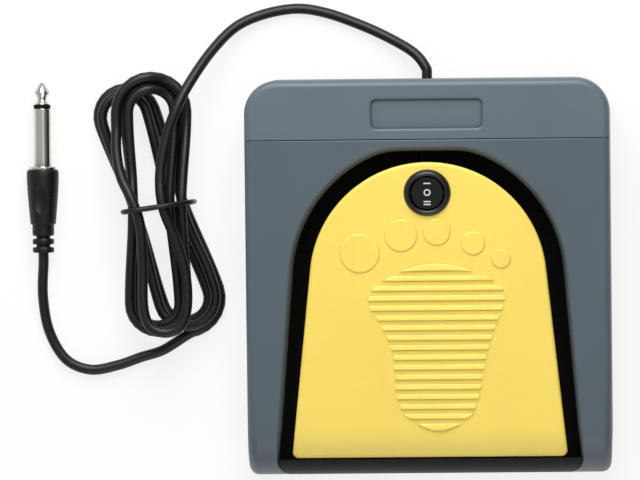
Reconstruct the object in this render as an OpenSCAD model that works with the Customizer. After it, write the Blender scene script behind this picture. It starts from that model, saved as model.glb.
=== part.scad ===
// Sustain pedal: a hinged foot plate in a two-part housing, with a polarity rocker and a corded jack plug.
// Millimetres. +Z up, +Y to the rear where the cord leaves, origin under the middle of the housing.

/* [Housing] */
// Width of the housing
body_w = 134; // [126:1:150]
// Depth of the housing, front to rear
body_d = 145; // [141:1:160]
// Height of the rear cover above the floor
body_h = 38; // [36:0.5:44]
// Depth of the rear cover, from its seam to the rear wall
cover_d = 23; // [21:0.5:26]
// Fall of the front shell towards the foot, in degrees
shell_slope = 8; // [7:0.5:9]
// Radius of the rounded nose
nose_r = 20; // [18:0.5:22]
// Corner radius at the rear, seen from above
rear_corner_r = 13; // [9:0.5:16]
// Corner radius at the front, seen from above
front_corner_r = 4.5; // [3:0.5:7]
// Radius along the top edges
top_edge_r = 2.5; // [1.5:0.25:4]
// Inward lean of the side walls, in degrees
side_draft = 1.5; // [0.5:0.25:2.5]
// Wall of the shells
wall = 2.5; // [2:0.25:3]
// Gap along the seams between the housing parts
seam_gap = 0.3; // [0.2:0.05:0.5]

/* [Arch round the plate] */
// Radius of the arch opening
arch_r = 50; // [49:0.5:52]
// How far the crown of the arch is cut flat
arch_flat = 2.2; // [1.5:0.1:3]
// Radius that eases the flat crown into the arch
arch_ease_r = 25; // [15:1:30]
// Spread of the arch's sides, in degrees
arch_spread = 4.76; // [4:0.1:5]
// Radius of the arch's front corners
arch_toe_r = 5; // [3.5:0.5:6]
// Rounding of the arch's rim
rim_r = 2; // [1:0.25:2.25]
// Wall of the black well inside the arch
well_wall = 2; // [1.5:0.25:2.5]
// Width of the shell between the arch's crown and the seam
crown_band = 3.2; // [2.5:0.1:4]

/* [Base] */
// Height of the rubber feet
foot_h = 2; // [1:0.25:4]
// Diameter of the rubber feet
foot_d = 12; // [8:0.5:16]
// Depth of the seats for the feet
foot_seat = 0.8; // [0.4:0.1:1.2]
// Thickness of the floor
floor_t = 2.5; // [2:0.25:3]
// Depth of the black lip in front of the plate
lip_d = 6.4; // [5:0.2:8]
// Gap between the lip and the plate
lip_gap = 0.5; // [0.4:0.1:1]

/* [Foot plate] */
// Radius of the plate's toe end
plate_r = 43; // [41:0.5:44]
// Spread of the plate's sides, in degrees
plate_spread = 6.24; // [5:0.1:6.5]
// Slope of the plate at rest, in degrees
plate_slope = 9.2; // [9:0.1:10]
// Thickness of the plate
plate_t = 4; // [3:0.25:4.5]
// Depth of the skirt round the plate
skirt_h = 9; // [7:0.5:10]
// Thickness of the skirt
skirt_t = 2; // [1.5:0.25:2.5]
// Radius of the plate's front corners
plate_corner_r = 2; // [1:0.25:4]
// Height of the raised toes and ribs
relief_h = 0.6; // [0.3:0.1:1]
// Number of ribs on the sole
rib_count = 17; // [12:1:18]
// Width of a rib
rib_w = 1.8; // [1.2:0.1:2.4]

/* [Hinge] */
// Diameter of the hinge pin
pin_d = 3; // [2:0.25:4]
// Length of the hinge pin
pin_l = 88.6; // [88:0.1:92]
// Distance of the pin ahead of the nose's centre
pin_ahead = 1.5; // [0:0.25:3]
// Height of the pin above the floor of the tray
pin_rise = 4.5; // [4.4:0.1:6]
// Radius of the knuckles round the pin
knuckle_r = 4; // [3.5:0.1:4.2]
// Width of a knuckle
knuckle_w = 6; // [4:0.5:8]
// Width of an ear that holds the pin
ear_w = 4; // [3:0.25:5]
// Running clearance round pins and plungers
run_gap = 0.05; // [0.02:0.01:0.08]
// Travel of the plate, in degrees
press_deg = 5; // [3:0.5:5]

/* [Springs and stops] */
// Sideways place of the springs
spring_x = 22; // [20:0.5:24]
// Distance of the springs behind the middle of the toe end
spring_back = 19.5; // [18:0.5:21]
// Outer diameter of a spring
spring_d = 10; // [9:0.25:11]
// Wire of a spring
spring_wire = 1.2; // [0.8:0.1:1.4]
// Turns of a spring
spring_turns = 7; // [5:1:9]
// Free height of a spring when fitted
spring_h = 19.5; // [18:0.5:21]
// Sideways place of the stop posts
stop_x = 31; // [29:0.5:32]
// Distance of the stop posts behind the middle of the toe end
stop_back = 9.5; // [7:0.5:11]
// Diameter of the stop posts
stop_d = 8; // [6:0.5:9]
// Thickness of the rubber on the stop posts
stop_pad_t = 3; // [2:0.25:4]
// Gap left at a stop
stop_gap = 0.4; // [0.3:0.05:0.6]

/* [Polarity rocker] */
// Distance of the rocker behind the middle of the toe end
rocker_back = 31.9; // [31:0.1:32.5]
// Diameter of the rocker's rim
bezel_d = 17; // [16:0.25:18]
// Height of the rim above the plate
bezel_h = 1.6; // [1.4:0.1:2.2]
// Diameter of the barrel in the plate
barrel_d = 14.8; // [14.2:0.1:15.4]
// Depth of the barrel under the plate's surface
barrel_h = 12; // [11:0.5:13]
// Diameter of the button
button_d = 11.7; // [11.2:0.1:12]
// Gap round the button
button_gap = 0.3; // [0.2:0.05:0.4]

/* [Snap-action switch] */
// Length of the switch
switch_l = 20; // [19:0.25:21]
// Width of the switch
switch_w = 6.5; // [6:0.25:7]
// Height of the switch
switch_h = 10; // [9.5:0.25:10.5]
// Distance of the switch ahead of the middle of the toe end
switch_ahead = 18.5; // [17.5:0.5:19.5]
// Height of the switch above the floor of the tray
switch_rise = 4.5; // [4.25:0.25:4.75]
// Thickness of the lever
lever_t = 0.6; // [0.4:0.1:0.8]
// Length of the lever
lever_l = 17; // [16:0.25:18]
// Rise of the lever at rest, in degrees
lever_rise = 15; // [14:0.5:16]
// Diameter of the plunger
plunger_d = 2.4; // [2:0.1:2.8]
// Diameter of the switch's screws
switch_screw_d = 2; // [1.6:0.1:2.2]

/* [Screws] */
// Shank of the case screws
screw_d = 3; // [2.5:0.1:3.4]
// Head of the case screws
screw_head_d = 5.5; // [5:0.1:6]
// Height of a case screw's head
screw_head_h = 2; // [1.5:0.1:2.2]
// Length of a case screw under its head
screw_l = 12; // [10:0.5:13]
// Clearance between a screw and its hole
screw_gap = 0.2; // [0.1:0.05:0.3]

/* [Recess] */
// Width of the bare recess in the rear cover
recess_w = 42; // [30:1:50]
// Depth of the recess, front to rear
recess_d = 12.4; // [10:0.2:14]
// How deep the recess is sunk
recess_t = 0.8; // [0.4:0.1:1.2]

/* [Cord and plug] */
// Diameter of the cord
cord_d = 3.8; // [3.6:0.1:3.9]
// Height of the cord's way out above the floor
exit_z = 9; // [8.5:0.25:10]
// Diameter of the plug's shank
shank_d = 6.35; // [6.2:0.05:6.5]
// Length of the plug's sleeve
sleeve_l = 21.6; // [20:0.2:23]
// Length of the plug's tip
tip_l = 8.3; // [8:0.1:9]
// Largest diameter of the plug's grip
grip_d = 12; // [11:0.25:12.5]
// Length of the plug's grip
grip_l = 22.6; // [20:0.2:25]

/* [Hidden] */
$fn = 48;

// Heights and places that follow from the sizes above
floor_z = foot_h;
tray_z = foot_h + floor_t;
seam_y = body_d / 2 - cover_d;
front_y = -body_d / 2;
nose_y = front_y + nose_r;
nose_z = body_h - (seam_y - nose_y) * tan(shell_slope) - nose_r / cos(shell_slope);
rear_y = body_d / 2;
plate_y = seam_y - crown_band - arch_r + arch_flat;
plate_front_y = front_y + lip_d;
hinge_y = nose_y - pin_ahead;
hinge_z = tray_z + pin_rise;
spring_y = plate_y + spring_back;
stop_y = plate_y + stop_back;
rocker_y = plate_y + rocker_back;
switch_y = plate_y - switch_ahead;
far_y = body_d;
big = 2 * body_d;

// Height of a sloped surface that runs tangent into the nose, lifted by off
function slope_z(y, slope, off = 0) =
    nose_z + (nose_r + off) / cos(slope) + (y - nose_y) * tan(slope);

// Height of the nose and the slope behind it
function skin_z(y, slope) =
    y > nose_y - nose_r * sin(slope)
        ? slope_z(y, slope)
        : nose_z + sqrt(max(0, nose_r * nose_r - pow(y - nose_y, 2)));

// Points of an arc
function arc(cx, cy, r, a0, a1, n) =
    [for (i = [0:n]) [cx + r * cos(a0 + (a1 - a0) * i / n), cy + r * sin(a0 + (a1 - a0) * i / n)]];

// Side profile between two offsets of a sloped surface and its nose
function skin(slope, outer, inner) = concat(
    [[far_y, slope_z(far_y, slope, outer)]],
    arc(nose_y, nose_z, nose_r + outer, 90 + slope, 180, 20),
    arc(nose_y, nose_z, nose_r + inner, 180, 90 + slope, 20),
    [[far_y, slope_z(far_y, slope, inner)]]
);

// Everything under an offset of a sloped surface
function under(slope, off) = concat(
    [[far_y, -big], [far_y, slope_z(far_y, slope, off)]],
    arc(nose_y, nose_z, nose_r + off, 90 + slope, 180, 20),
    [[nose_y - nose_r - off, -big]]
);

// Side profiles lie in Y and Z and run along X
module along_x(width) {
    rotate([90, 0, 90]) linear_extrude(width, center = true) children();
}

// Right half of the arch, from its crown to the front, drawn in by off
ease_x = sqrt(pow(arch_r - arch_ease_r, 2) - pow(arch_r - arch_flat - arch_ease_r, 2));
ease_a = atan2(ease_x, arch_r - arch_flat - arch_ease_r);
arc_short = 1;
toe_turn = 70;
toe_y = front_y + arch_toe_r;
toe_x = (arch_r - arch_toe_r) / cos(arch_spread) + (plate_y - toe_y) * tan(arch_spread);
function arch_half(off, y_end) = concat(
    arc(ease_x, plate_y + arch_r - arch_flat - arch_ease_r, arch_ease_r - off, 90, 90 - ease_a, 6),
    arc(0, plate_y, arch_r - off, 88 - ease_a, arch_spread + arc_short, 16),
    arc(toe_x, toe_y, arch_toe_r - off, arch_spread, -toe_turn, 6),
    [[toe_x + (arch_toe_r - off) * cos(toe_turn), y_end]]
);
function mirrored(pts) = [for (i = [len(pts) - 1:-1:0]) [-pts[i][0], pts[i][1]]];
function arch_outline(off, y_end) = concat(arch_half(off, y_end), mirrored(arch_half(off, y_end)));

// Outline of the foot plate, drawn in by off
function plate_half(off) = let (
    y_end = plate_front_y + off,
    r = max(plate_corner_r - off, 0.2),
    corner_y = y_end + r,
    corner_x = (plate_r - off - r) / cos(plate_spread) + (plate_y - corner_y) * tan(plate_spread)
) concat(
    arc(0, plate_y, plate_r - off, 90, plate_spread, 24),
    arc(corner_x, corner_y, r, plate_spread, -90, 5)
);
function plate_outline(off) = concat(plate_half(off), mirrored(plate_half(off)));

// Rounded rectangle
module round_rect(w, d, r) {
    polygon(concat(
        arc(w / 2 - r, d / 2 - r, r, 0, 90, 8),
        arc(r - w / 2, d / 2 - r, r, 90, 180, 8),
        arc(r - w / 2, r - d / 2, r, 180, 270, 8),
        arc(w / 2 - r, r - d / 2, r, 270, 360, 8)
    ));
}

// One rear corner post of the housing, with its top edge rounded
module corner_post() {
    lean = (body_h - floor_z) * tan(side_draft);
    top_r = rear_corner_r - lean;
    rotate_extrude($fn = 32) polygon(concat(
        [[0, floor_z], [rear_corner_r, floor_z]],
        arc(top_r - top_edge_r, body_h - top_edge_r, top_edge_r, 0, 90, 4),
        [[0, body_h]]
    ));
}

// The rounded front of the housing, a roller across its width
module nose_roller() {
    half = body_w / 2;
    rotate([0, 90, 0]) rotate_extrude($fn = 64) polygon(concat(
        [[0, -half]],
        arc(nose_r - front_corner_r, front_corner_r - half, front_corner_r, -90, 0, 5),
        arc(nose_r - front_corner_r, half - front_corner_r, front_corner_r, 0, 90, 5),
        [[0, half]]
    ));
}

// Outer form of the whole housing
module housing_form() {
    lean = (body_h - floor_z) * tan(side_draft);
    intersection() {
        hull() {
            for (s = [-1, 1]) {
                translate([s * (body_w / 2 - rear_corner_r), body_d / 2 - rear_corner_r, 0]) corner_post();
                translate([s * (body_w / 2 - lean - top_edge_r), seam_y, body_h - top_edge_r])
                    sphere(top_edge_r, $fn = 24);
            }
            translate([0, nose_y, nose_z]) nose_roller();
        }
        translate([0, 0, floor_z + big / 2]) cube(big, center = true);
    }
}

// Room inside the housing
module housing_room() {
    lean = body_h * tan(side_draft);
    room_w = body_w - 2 * wall - 2 * lean;
    intersection() {
        linear_extrude(big, center = true) union() {
            round_rect(room_w, body_d - 2 * wall, rear_corner_r - wall);
            translate([0, -rear_corner_r])
                round_rect(room_w, body_d - 2 * wall - 2 * rear_corner_r, front_corner_r / 2);
            translate([0, front_y + wall + rear_corner_r])
                round_rect(room_w, 2 * rear_corner_r, front_corner_r / 2);
        }
        along_x(big) polygon(under(shell_slope, -wall));
        translate([0, 0, body_h - wall - big / 2]) cube(big, center = true);
    }
}

// Cutter that rounds the rim of the arch
module rim_flare() {
    steps = 4;
    n = len(arch_outline(0, 0));
    y_end = front_y - nose_r;
    levels = concat(
        [for (k = [0:steps]) [rim_r * (1 - cos(90 * k / steps)), rim_r * (sin(90 * k / steps) - 1)]],
        [[rim_r, rim_r]]
    );
    pts = [for (l = levels) for (p = arch_outline(-l[0], y_end))
        [p[0], p[1], skin_z(p[1], shell_slope) + l[1]]];
    top = len(levels) - 1;
    sides = [for (k = [0:top - 1]) for (i = [0:n - 1]) let (j = (i + 1) % n)
        each [[k * n + i, k * n + j, (k + 1) * n + j], [k * n + i, (k + 1) * n + j, (k + 1) * n + i]]];
    half = n / 2;
    function cap(k) = [for (i = [0:half - 2]) each [
        [k * n + i, k * n + i + 1, k * n + n - 2 - i],
        [k * n + i, k * n + n - 2 - i, k * n + n - 1 - i]
    ]];
    floor_cap = [for (f = cap(0)) [f[0], f[2], f[1]]];
    polyhedron(pts, concat(sides, floor_cap, cap(top)));
}

// Case screws: two pairs hold the front shell, one pair the rear cover.
// The first pair stands between the well's wall and the side of each leg.
screw_in_leg = 2.094;
screw_edge_rear = 13;
screw_behind_nose = 30.5;
screw_ahead_seam = 19.5;
cover_screw_in = 31;
cover_screw_edge = 11;
leg_screw_y = nose_y + screw_behind_nose;
leg_in = (arch_r + seam_gap + well_wall) / cos(arch_spread) + (plate_y - leg_screw_y) * tan(arch_spread);
shell_screws = [
    [(leg_in + body_w / 2) / 2 - screw_in_leg, leg_screw_y],
    [body_w / 2 - screw_edge_rear, seam_y - screw_ahead_seam]
];
cover_screw = [body_w / 2 - cover_screw_in, rear_y - cover_screw_edge];
post_h = 5;
post_wall = 1.3;
post_r = screw_head_d / 2 + post_wall;
boss_wall = 2;
bite_gap = 0.02;
head_sink = 0.4;
head_z = floor_z + head_sink;
over = 1;
function both_sides(list) = [for (p = list) for (s = [-1, 1]) [s * p[0], p[1]]];

// Screw boss that hangs from a shell
module screw_boss(p, top) {
    translate([p[0], p[1], floor_z + post_h]) difference() {
        cylinder(h = top - floor_z - post_h, r = screw_d / 2 + boss_wall);
        translate([0, 0, -over]) cylinder(h = screw_l + over, d = screw_d + 2 * bite_gap);
    }
}

module top_shell() color([0.36, 0.41, 0.44]) {
    difference() {
        intersection() {
            housing_form();
            translate([0, seam_y - seam_gap / 2 - big / 2, 0]) cube([big, big, big], center = true);
        }
        housing_room();
        linear_extrude(big, center = true) polygon(arch_outline(0, front_y - over));
        rim_flare();
    }
    for (p = both_sides(shell_screws)) screw_boss(p, skin_z(p[1], shell_slope) - wall / 2);
}

recess_ahead = 2;
recess_corner_r = 2;
module rear_cover() color([0.41, 0.46, 0.49]) {
    mid_y = (seam_y + rear_y) / 2 - recess_ahead;
    difference() {
        intersection() {
            housing_form();
            translate([0, seam_y + seam_gap / 2 + big / 2, 0]) cube([big, big, big], center = true);
        }
        housing_room();
        translate([0, mid_y, body_h - recess_t]) linear_extrude(wall)
            round_rect(recess_w, recess_d, recess_corner_r);
        translate([0, rear_y + wall, exit_z])
            rotate([90, 0, 0]) cylinder(h = 3 * wall, d = cord_d + 2 * screw_gap);
    }
    for (p = both_sides([cover_screw])) screw_boss(p, body_h - wall / 2);
}

// Base tray
tray_gap = wall + seam_gap;
bridge_back = 6.5;
bridge_y = plate_y + bridge_back;
bridge_z = 18.3;
bridge_t = 3.5;
bridge_leg = 2.5;
hook_side_gap = 1;
hook_front_gap = 2;
hook_x = 17;
hook_w = 6;
hook_t = 3;
stop_under_z = slope_z(stop_y, plate_slope, -plate_t);
stop_reach = stop_y - hinge_y;
stop_top_z = stop_under_z - stop_reach * sin(press_deg) - stop_d / 2 * tan(plate_slope) - stop_gap;
spring_seat_h = 2;
spring_seat_rim = 1.5;
spigot_up = 3.5;
spigot_gap = 0.6;
spring_seat_z = tray_z + spring_seat_h;
spring_top_z = spring_seat_z + spring_h;
spigot_r = spring_d / 2 - spring_wire - spigot_gap;
clamp_ahead = 16.5;
clamp_y = rear_y - clamp_ahead;
clamp_w = 18;
clamp_d = 6;
clamp_screw_x = 6;
clamp_t = 3;
clamp_screw_sink = 0.5;
clamp_screw_z = tray_z + clamp_screw_sink;
groove_r = cord_d / 2 + run_gap;
bracket_t = 3;
switch_hole_step = 9.5;
foot_edge = 13;
foot_rear = 14.5;
foot_front = 12.5;
foot_fit = 0.05;
pin_fit = 0.01;
wire_way_w = 8;
wire_way_h = 6;
bracket_h = 7;
feet = [[body_w / 2 - foot_edge, rear_y - foot_rear], [body_w / 2 - foot_edge, front_y + foot_front]];

module tray_floor() {
    lean = body_h * tan(side_draft);
    w = body_w - 2 * tray_gap - 2 * lean;
    translate([0, 0, floor_z]) linear_extrude(floor_t) union() {
        round_rect(w, body_d - 2 * tray_gap, rear_corner_r - tray_gap);
        translate([0, front_y + tray_gap + rear_corner_r])
            round_rect(w, 2 * rear_corner_r, front_corner_r / 2);
        intersection() {
            polygon(arch_outline(seam_gap, front_y));
            translate([-body_w / 2, front_y]) square([body_w, nose_r]);
        }
    }
}

module well() {
    intersection() {
        translate([0, 0, floor_z]) linear_extrude(body_h) difference() {
            polygon(arch_outline(-seam_gap - well_wall, front_y));
            polygon(arch_outline(-seam_gap, front_y - over));
        }
        along_x(big) polygon(under(shell_slope, -wall - seam_gap));
    }
    intersection() {
        translate([0, 0, floor_z]) linear_extrude(body_h) intersection() {
            polygon(arch_outline(seam_gap, front_y));
            translate([-body_w / 2, front_y]) square([body_w, lip_d - lip_gap]);
        }
        along_x(big) polygon(skin(shell_slope, 0, -wall));
    }
    intersection() {
        translate([0, 0, floor_z]) linear_extrude(nose_z - floor_z + seam_gap)
            polygon(arch_outline(seam_gap, front_y));
        translate([-body_w / 2, front_y + run_gap, floor_z]) cube([body_w, wall, nose_z]);
    }
}

module ear(x) {
    translate([x - ear_w / 2, hinge_y - knuckle_r, tray_z - over])
        cube([ear_w, 2 * knuckle_r, hinge_z - tray_z + over]);
    translate([x, hinge_y, hinge_z]) rotate([0, 90, 0]) cylinder(h = ear_w, r = knuckle_r, center = true);
}

module hook_bridge(s) {
    gate_w = hook_w + 2 * hook_side_gap;
    for (e = [-1, 1])
        translate([s * hook_x + e * (gate_w + bridge_leg) / 2 - bridge_leg / 2, bridge_y, tray_z - over])
            cube([bridge_leg, bridge_t, bridge_z + bridge_t - tray_z + over]);
    translate([s * hook_x - gate_w / 2 - bridge_leg, bridge_y, bridge_z])
        cube([gate_w + 2 * bridge_leg, bridge_t, bridge_t]);
}

knuckle_side_gap = 0.3;
knuckle_x = pin_l / 2 - ear_w - knuckle_side_gap - knuckle_w / 2;
ear_x = pin_l / 2 - ear_w / 2;
switch_bottom = tray_z + switch_rise;
switch_top = switch_bottom + switch_h;
switch_hole_up = 3;
switch_hole_z = switch_bottom + switch_hole_up;

module base_tray() color([0.05, 0.05, 0.05]) {
    difference() {
        union() {
            tray_floor();
            well();
            for (p = both_sides(concat(shell_screws, [cover_screw])))
                translate([p[0], p[1], floor_z]) cylinder(h = post_h, r = post_r);
            for (s = [-1, 1]) {
                ear(s * ear_x);
                hook_bridge(s);
                translate([s * spring_x, spring_y, tray_z - over])
                    cylinder(h = spring_seat_h + over, d = spring_d + 2 * spring_seat_rim);
                translate([s * spring_x, spring_y, tray_z])
                    cylinder(h = spring_seat_h + spigot_up, r = spigot_r);
                translate([s * stop_x, stop_y, tray_z - over])
                    cylinder(h = stop_top_z - stop_pad_t - tray_z + over, d = stop_d);
            }
            translate([switch_w / 2, switch_y - switch_l / 2, tray_z - over])
                cube([bracket_t, switch_l, switch_bottom - tray_z + bracket_h]);
            translate([-clamp_w / 2, clamp_y - clamp_d / 2, tray_z - over])
                cube([clamp_w, clamp_d, exit_z - tray_z + over]);
        }
        for (p = both_sides(concat(shell_screws, [cover_screw]))) translate([p[0], p[1], floor_z - over]) {
            cylinder(h = head_sink + over + screw_head_h, d = screw_head_d + 2 * screw_gap);
            cylinder(h = post_h + 2 * over, d = screw_d + 2 * screw_gap);
        }
        for (p = both_sides(feet)) translate([p[0], p[1], floor_z - over])
            cylinder(h = foot_seat + over, d = foot_d + 2 * foot_fit);
        translate([0, hinge_y, hinge_z]) rotate([0, 90, 0])
            cylinder(h = pin_l + 2 * over, d = pin_d + 2 * pin_fit, center = true);
        translate([0, clamp_y, exit_z]) rotate([90, 0, 0])
            cylinder(h = clamp_d + 2 * over, r = groove_r, center = true);
        for (s = [-1, 1]) translate([s * clamp_screw_x, clamp_y, clamp_screw_z - bite_gap])
            cylinder(h = exit_z, d = switch_screw_d + 2 * bite_gap);
        for (s = [-1, 1]) translate([switch_w / 2, switch_y + s * switch_hole_step / 2, switch_hole_z])
            rotate([0, 90, 0]) cylinder(h = 3 * bracket_t, d = switch_screw_d + 2 * bite_gap, center = true);
        translate([-wire_way_w / 2, seam_y - crown_band - over, tray_z])
            cube([wire_way_w, well_wall + seam_gap + 2 * over, wire_way_h]);
    }
}

// Foot plate
// The sole's outline: place as a share of the way to the plate's front, left edge and right edge
sole_l = plate_y - plate_front_y;
sole = [
    [-0.116, -6, 11], [-0.07, -9.5, 15.5], [-0.016, -16, 23], [0.039, -20, 27], [0.101, -21.5, 28],
    [0.155, -21, 27], [0.209, -18.5, 25.5], [0.317, -14.5, 22.5], [0.426, -12.5, 20.5], [0.534, -12.5, 19.5],
    [0.642, -12, 18], [0.751, -9, 15.5], [0.813, -4, 10], [0.875, 0, 6]
];
function sole_edge(y, k) = lookup((plate_y - y) / sole_l, [for (p = sole) [p[0], p[k]]]);
rib_first = -0.085;
rib_last = 0.8065;
rib_pitch = (rib_last - rib_first) * sole_l / (rib_count - 1);
rib_top_y = plate_y - rib_first * sole_l;
// The toes: sideways place, distance behind the middle of the toe end, and diameter
toes = [[-25, 10.5, 14.6], [-10, 16.5, 12], [3.3, 17.7, 10.2], [16, 13.9, 9.2], [26.2, 8.2, 7.4]];

module foot_relief() {
    for (i = [0:rib_count - 1]) let (y0 = rib_top_y - i * rib_pitch, y1 = y0 - rib_w)
        polygon([
            [sole_edge(y0, 1), y0], [sole_edge(y1, 1), y1],
            [sole_edge(y1, 2), y1], [sole_edge(y0, 2), y0]
        ]);
    for (t = toes) translate([t[0], plate_y + t[1]]) circle(d = t[2]);
}

// A pad-side frame: on the plate's surface, square to it
module on_plate(y) {
    translate([0, y, slope_z(y, plate_slope)]) rotate([plate_slope, 0, 0]) children();
}

lever_inset = 2;
lever_up = 1.1;
lever_y = switch_y - switch_l / 2 + lever_inset;
lever_z = switch_top + lever_up;
tappet_r = 1.5;
tappet_w = 4;
touch_gap = 0.35;
touch_inset = 2;
lever_touch = lever_l - touch_inset;
tappet_off = lever_t / 2 + tappet_r + touch_gap;
tappet_y = lever_y + lever_touch * cos(lever_rise) - tappet_off * sin(lever_rise);
tappet_z = lever_z + lever_touch * sin(lever_rise) + tappet_off * cos(lever_rise);
skirt_clear = 0.6;
knuckle_top_z = skin_z(hinge_y - knuckle_r, plate_slope) - plate_t / 2;
barrel_gap = 0.1;
hook_y = bridge_y - hook_front_gap - hook_t;
hook_z = bridge_z - hook_t - stop_gap;

module pedal_plate() color([0.97, 0.86, 0.42]) {
    difference() {
        union() {
            intersection() {
                linear_extrude(big) polygon(plate_outline(0));
                along_x(body_w) polygon(skin(plate_slope, 0, -plate_t));
            }
            intersection() {
                linear_extrude(big) difference() {
                    polygon(plate_outline(0));
                    polygon(plate_outline(skirt_t));
                }
                along_x(body_w) polygon(skin(plate_slope, 0, -skirt_h));
                translate([0, 0, tray_z + skirt_clear + big / 2]) cube(big, center = true);
            }
            intersection() {
                linear_extrude(big) foot_relief();
                along_x(body_w) polygon(skin(plate_slope, relief_h, -plate_t / 2));
            }
            for (s = [-1, 1]) {
                translate([s * knuckle_x, hinge_y, hinge_z])
                    rotate([0, 90, 0]) cylinder(h = knuckle_w, r = knuckle_r, center = true);
                translate([s * knuckle_x - knuckle_w / 2, hinge_y - knuckle_r, hinge_z])
                    cube([knuckle_w, 2 * knuckle_r, knuckle_top_z - hinge_z]);
                translate([s * spring_x, spring_y, spring_top_z]) cylinder(
                    h = slope_z(spring_y, plate_slope) - plate_t / 2 - spring_top_z,
                    d = spring_d + 2 * spring_seat_rim
                );
                translate([s * spring_x, spring_y, spring_top_z - spigot_up])
                    cylinder(h = spigot_up + over, r = spigot_r);
                translate([s * hook_x - hook_w / 2, hook_y, hook_z]) {
                    cube([hook_w, hook_t, slope_z(hook_y, plate_slope) - plate_t / 2 - hook_z]);
                    cube([hook_w, hook_t + hook_front_gap + bridge_t, hook_t]);
                }
            }
            translate([0, tappet_y, tappet_z]) rotate([0, 90, 0])
                cylinder(h = tappet_w, r = tappet_r, center = true);
            translate([-tappet_w / 2, tappet_y - tappet_r, tappet_z])
                cube([tappet_w, 2 * tappet_r, slope_z(tappet_y, plate_slope) - plate_t / 2 - tappet_z]);
        }
        translate([0, hinge_y, hinge_z]) rotate([0, 90, 0])
            cylinder(h = pin_l, d = pin_d + 2 * run_gap, center = true);
        on_plate(rocker_y) cylinder(h = 4 * plate_t, d = barrel_d + 2 * barrel_gap, center = true);
    }
}

module hinge_pin() color([0.7, 0.7, 0.72]) {
    translate([0, hinge_y, hinge_z]) rotate([0, 90, 0]) cylinder(h = pin_l, d = pin_d, center = true);
}

// Tubes swept along points
function unit(v) = v / norm(v);
function heading(p, i) = unit(p[min(i + 1, len(p) - 1)] - p[max(i - 1, 0)]);
function ring(c, t, r, n) = let (side = unit(cross([0, 0, 1], t)), up = cross(t, side))
    [for (k = [0:n - 1]) c + r * (cos(360 * k / n) * side + sin(360 * k / n) * up)];
module tube(p, r, n) {
    last = len(p) - 1;
    pts = [for (i = [0:last]) each ring(p[i], heading(p, i), r, n)];
    walls = [for (i = [0:last - 1]) for (k = [0:n - 1]) let (a = i * n + k, b = i * n + (k + 1) % n)
        each [[a, a + n, b + n], [a, b + n, b]]];
    start = [for (k = [1:n - 2]) [0, k, k + 1]];
    end = [for (k = [1:n - 2]) [last * n, last * n + k + 1, last * n + k]];
    polyhedron(pts, concat(walls, start, end));
}

// A smooth run of points through hand-chosen ones, each stretch cut into steps
function knot(p, i) = i < 0 ? 2 * p[0] - p[1] : i >= len(p) ? 2 * p[len(p) - 1] - p[len(p) - 2] : p[i];
function between(a, b, c, d, t) = 0.5 * (2 * b + (c - a) * t + (2 * a - 5 * b + 4 * c - d) * t * t
    + (3 * b - a - 3 * c + d) * t * t * t);
function smooth_run(p, steps) = concat(
    [for (i = [0:len(p) - 2]) for (k = [0:steps - 1])
        between(knot(p, i - 1), p[i], p[i + 1], knot(p, i + 2), k / steps)],
    [p[len(p) - 1]]
);

// Coil springs, standing between the tray and the plate
module return_springs() color([0.75, 0.75, 0.77]) {
    coil_r = (spring_d - spring_wire) / 2;
    low = spring_seat_z + spring_wire / 2 + run_gap;
    rise = spring_h - spring_wire - 2 * run_gap;
    rings = 10;
    path = [for (i = [0:spring_turns * rings]) let (a = 360 * i / rings, f = i / (spring_turns * rings))
        [coil_r * cos(a), coil_r * sin(a), low + rise * f]];
    for (s = [-1, 1]) translate([s * spring_x, spring_y, 0]) tube(path, spring_wire / 2, 6);
}

module stop_pads() color([0.1, 0.1, 0.1]) {
    for (s = [-1, 1]) translate([s * stop_x, stop_y, stop_top_z - stop_pad_t])
        cylinder(h = stop_pad_t, d = stop_d);
}

// Polarity rocker, all in the plate's frame
pivot_z = 0.4;
button_top = 1;
button_low = 3;
button_dish = 0.35;
trunnion_r = 0.6;
trunnion_in = 0.95;
stem = [5, 2.4, 4.5];
stem_lap = 0.5;
well_r = button_d / 2 + button_gap;
cavity_z = -9.5;
rim_round = 0.9;
catch = [1.4, 4, 3];
catch_gap = 0.2;
terminal_step = 4;
terminal = [2.8, 0.8];
terminal_out = 5;
terminal_in = 1.2;
module rocker_housing() color([0.12, 0.12, 0.12]) {
    on_plate(rocker_y) difference() {
        union() {
            rotate_extrude() polygon(concat(
                [[0, 0], [bezel_d / 2, 0]],
                arc(bezel_d / 2 - rim_round, bezel_h - rim_round, rim_round, 0, 90, 5),
                [[0, bezel_h]]
            ));
            translate([0, 0, -barrel_h]) cylinder(h = barrel_h, d = barrel_d);
            for (s = [-1, 1])
                translate([(s * barrel_d - catch[0]) / 2, -catch[1] / 2, -plate_t - catch_gap - catch[2]])
                    cube(catch);
        }
        translate([0, 0, cavity_z]) cylinder(h = barrel_h, r = well_r);
        translate([0, 0, pivot_z]) rotate([0, 90, 0])
            cylinder(h = 2 * (well_r + trunnion_in + button_gap), r = trunnion_r + run_gap, center = true);
        for (k = [-1, 0, 1])
            translate([0, k * terminal_step, -barrel_h / 2 - over])
                cube([terminal[0] + 2 * run_gap, terminal[1] + 2 * run_gap, barrel_h], center = true);
    }
}

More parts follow.
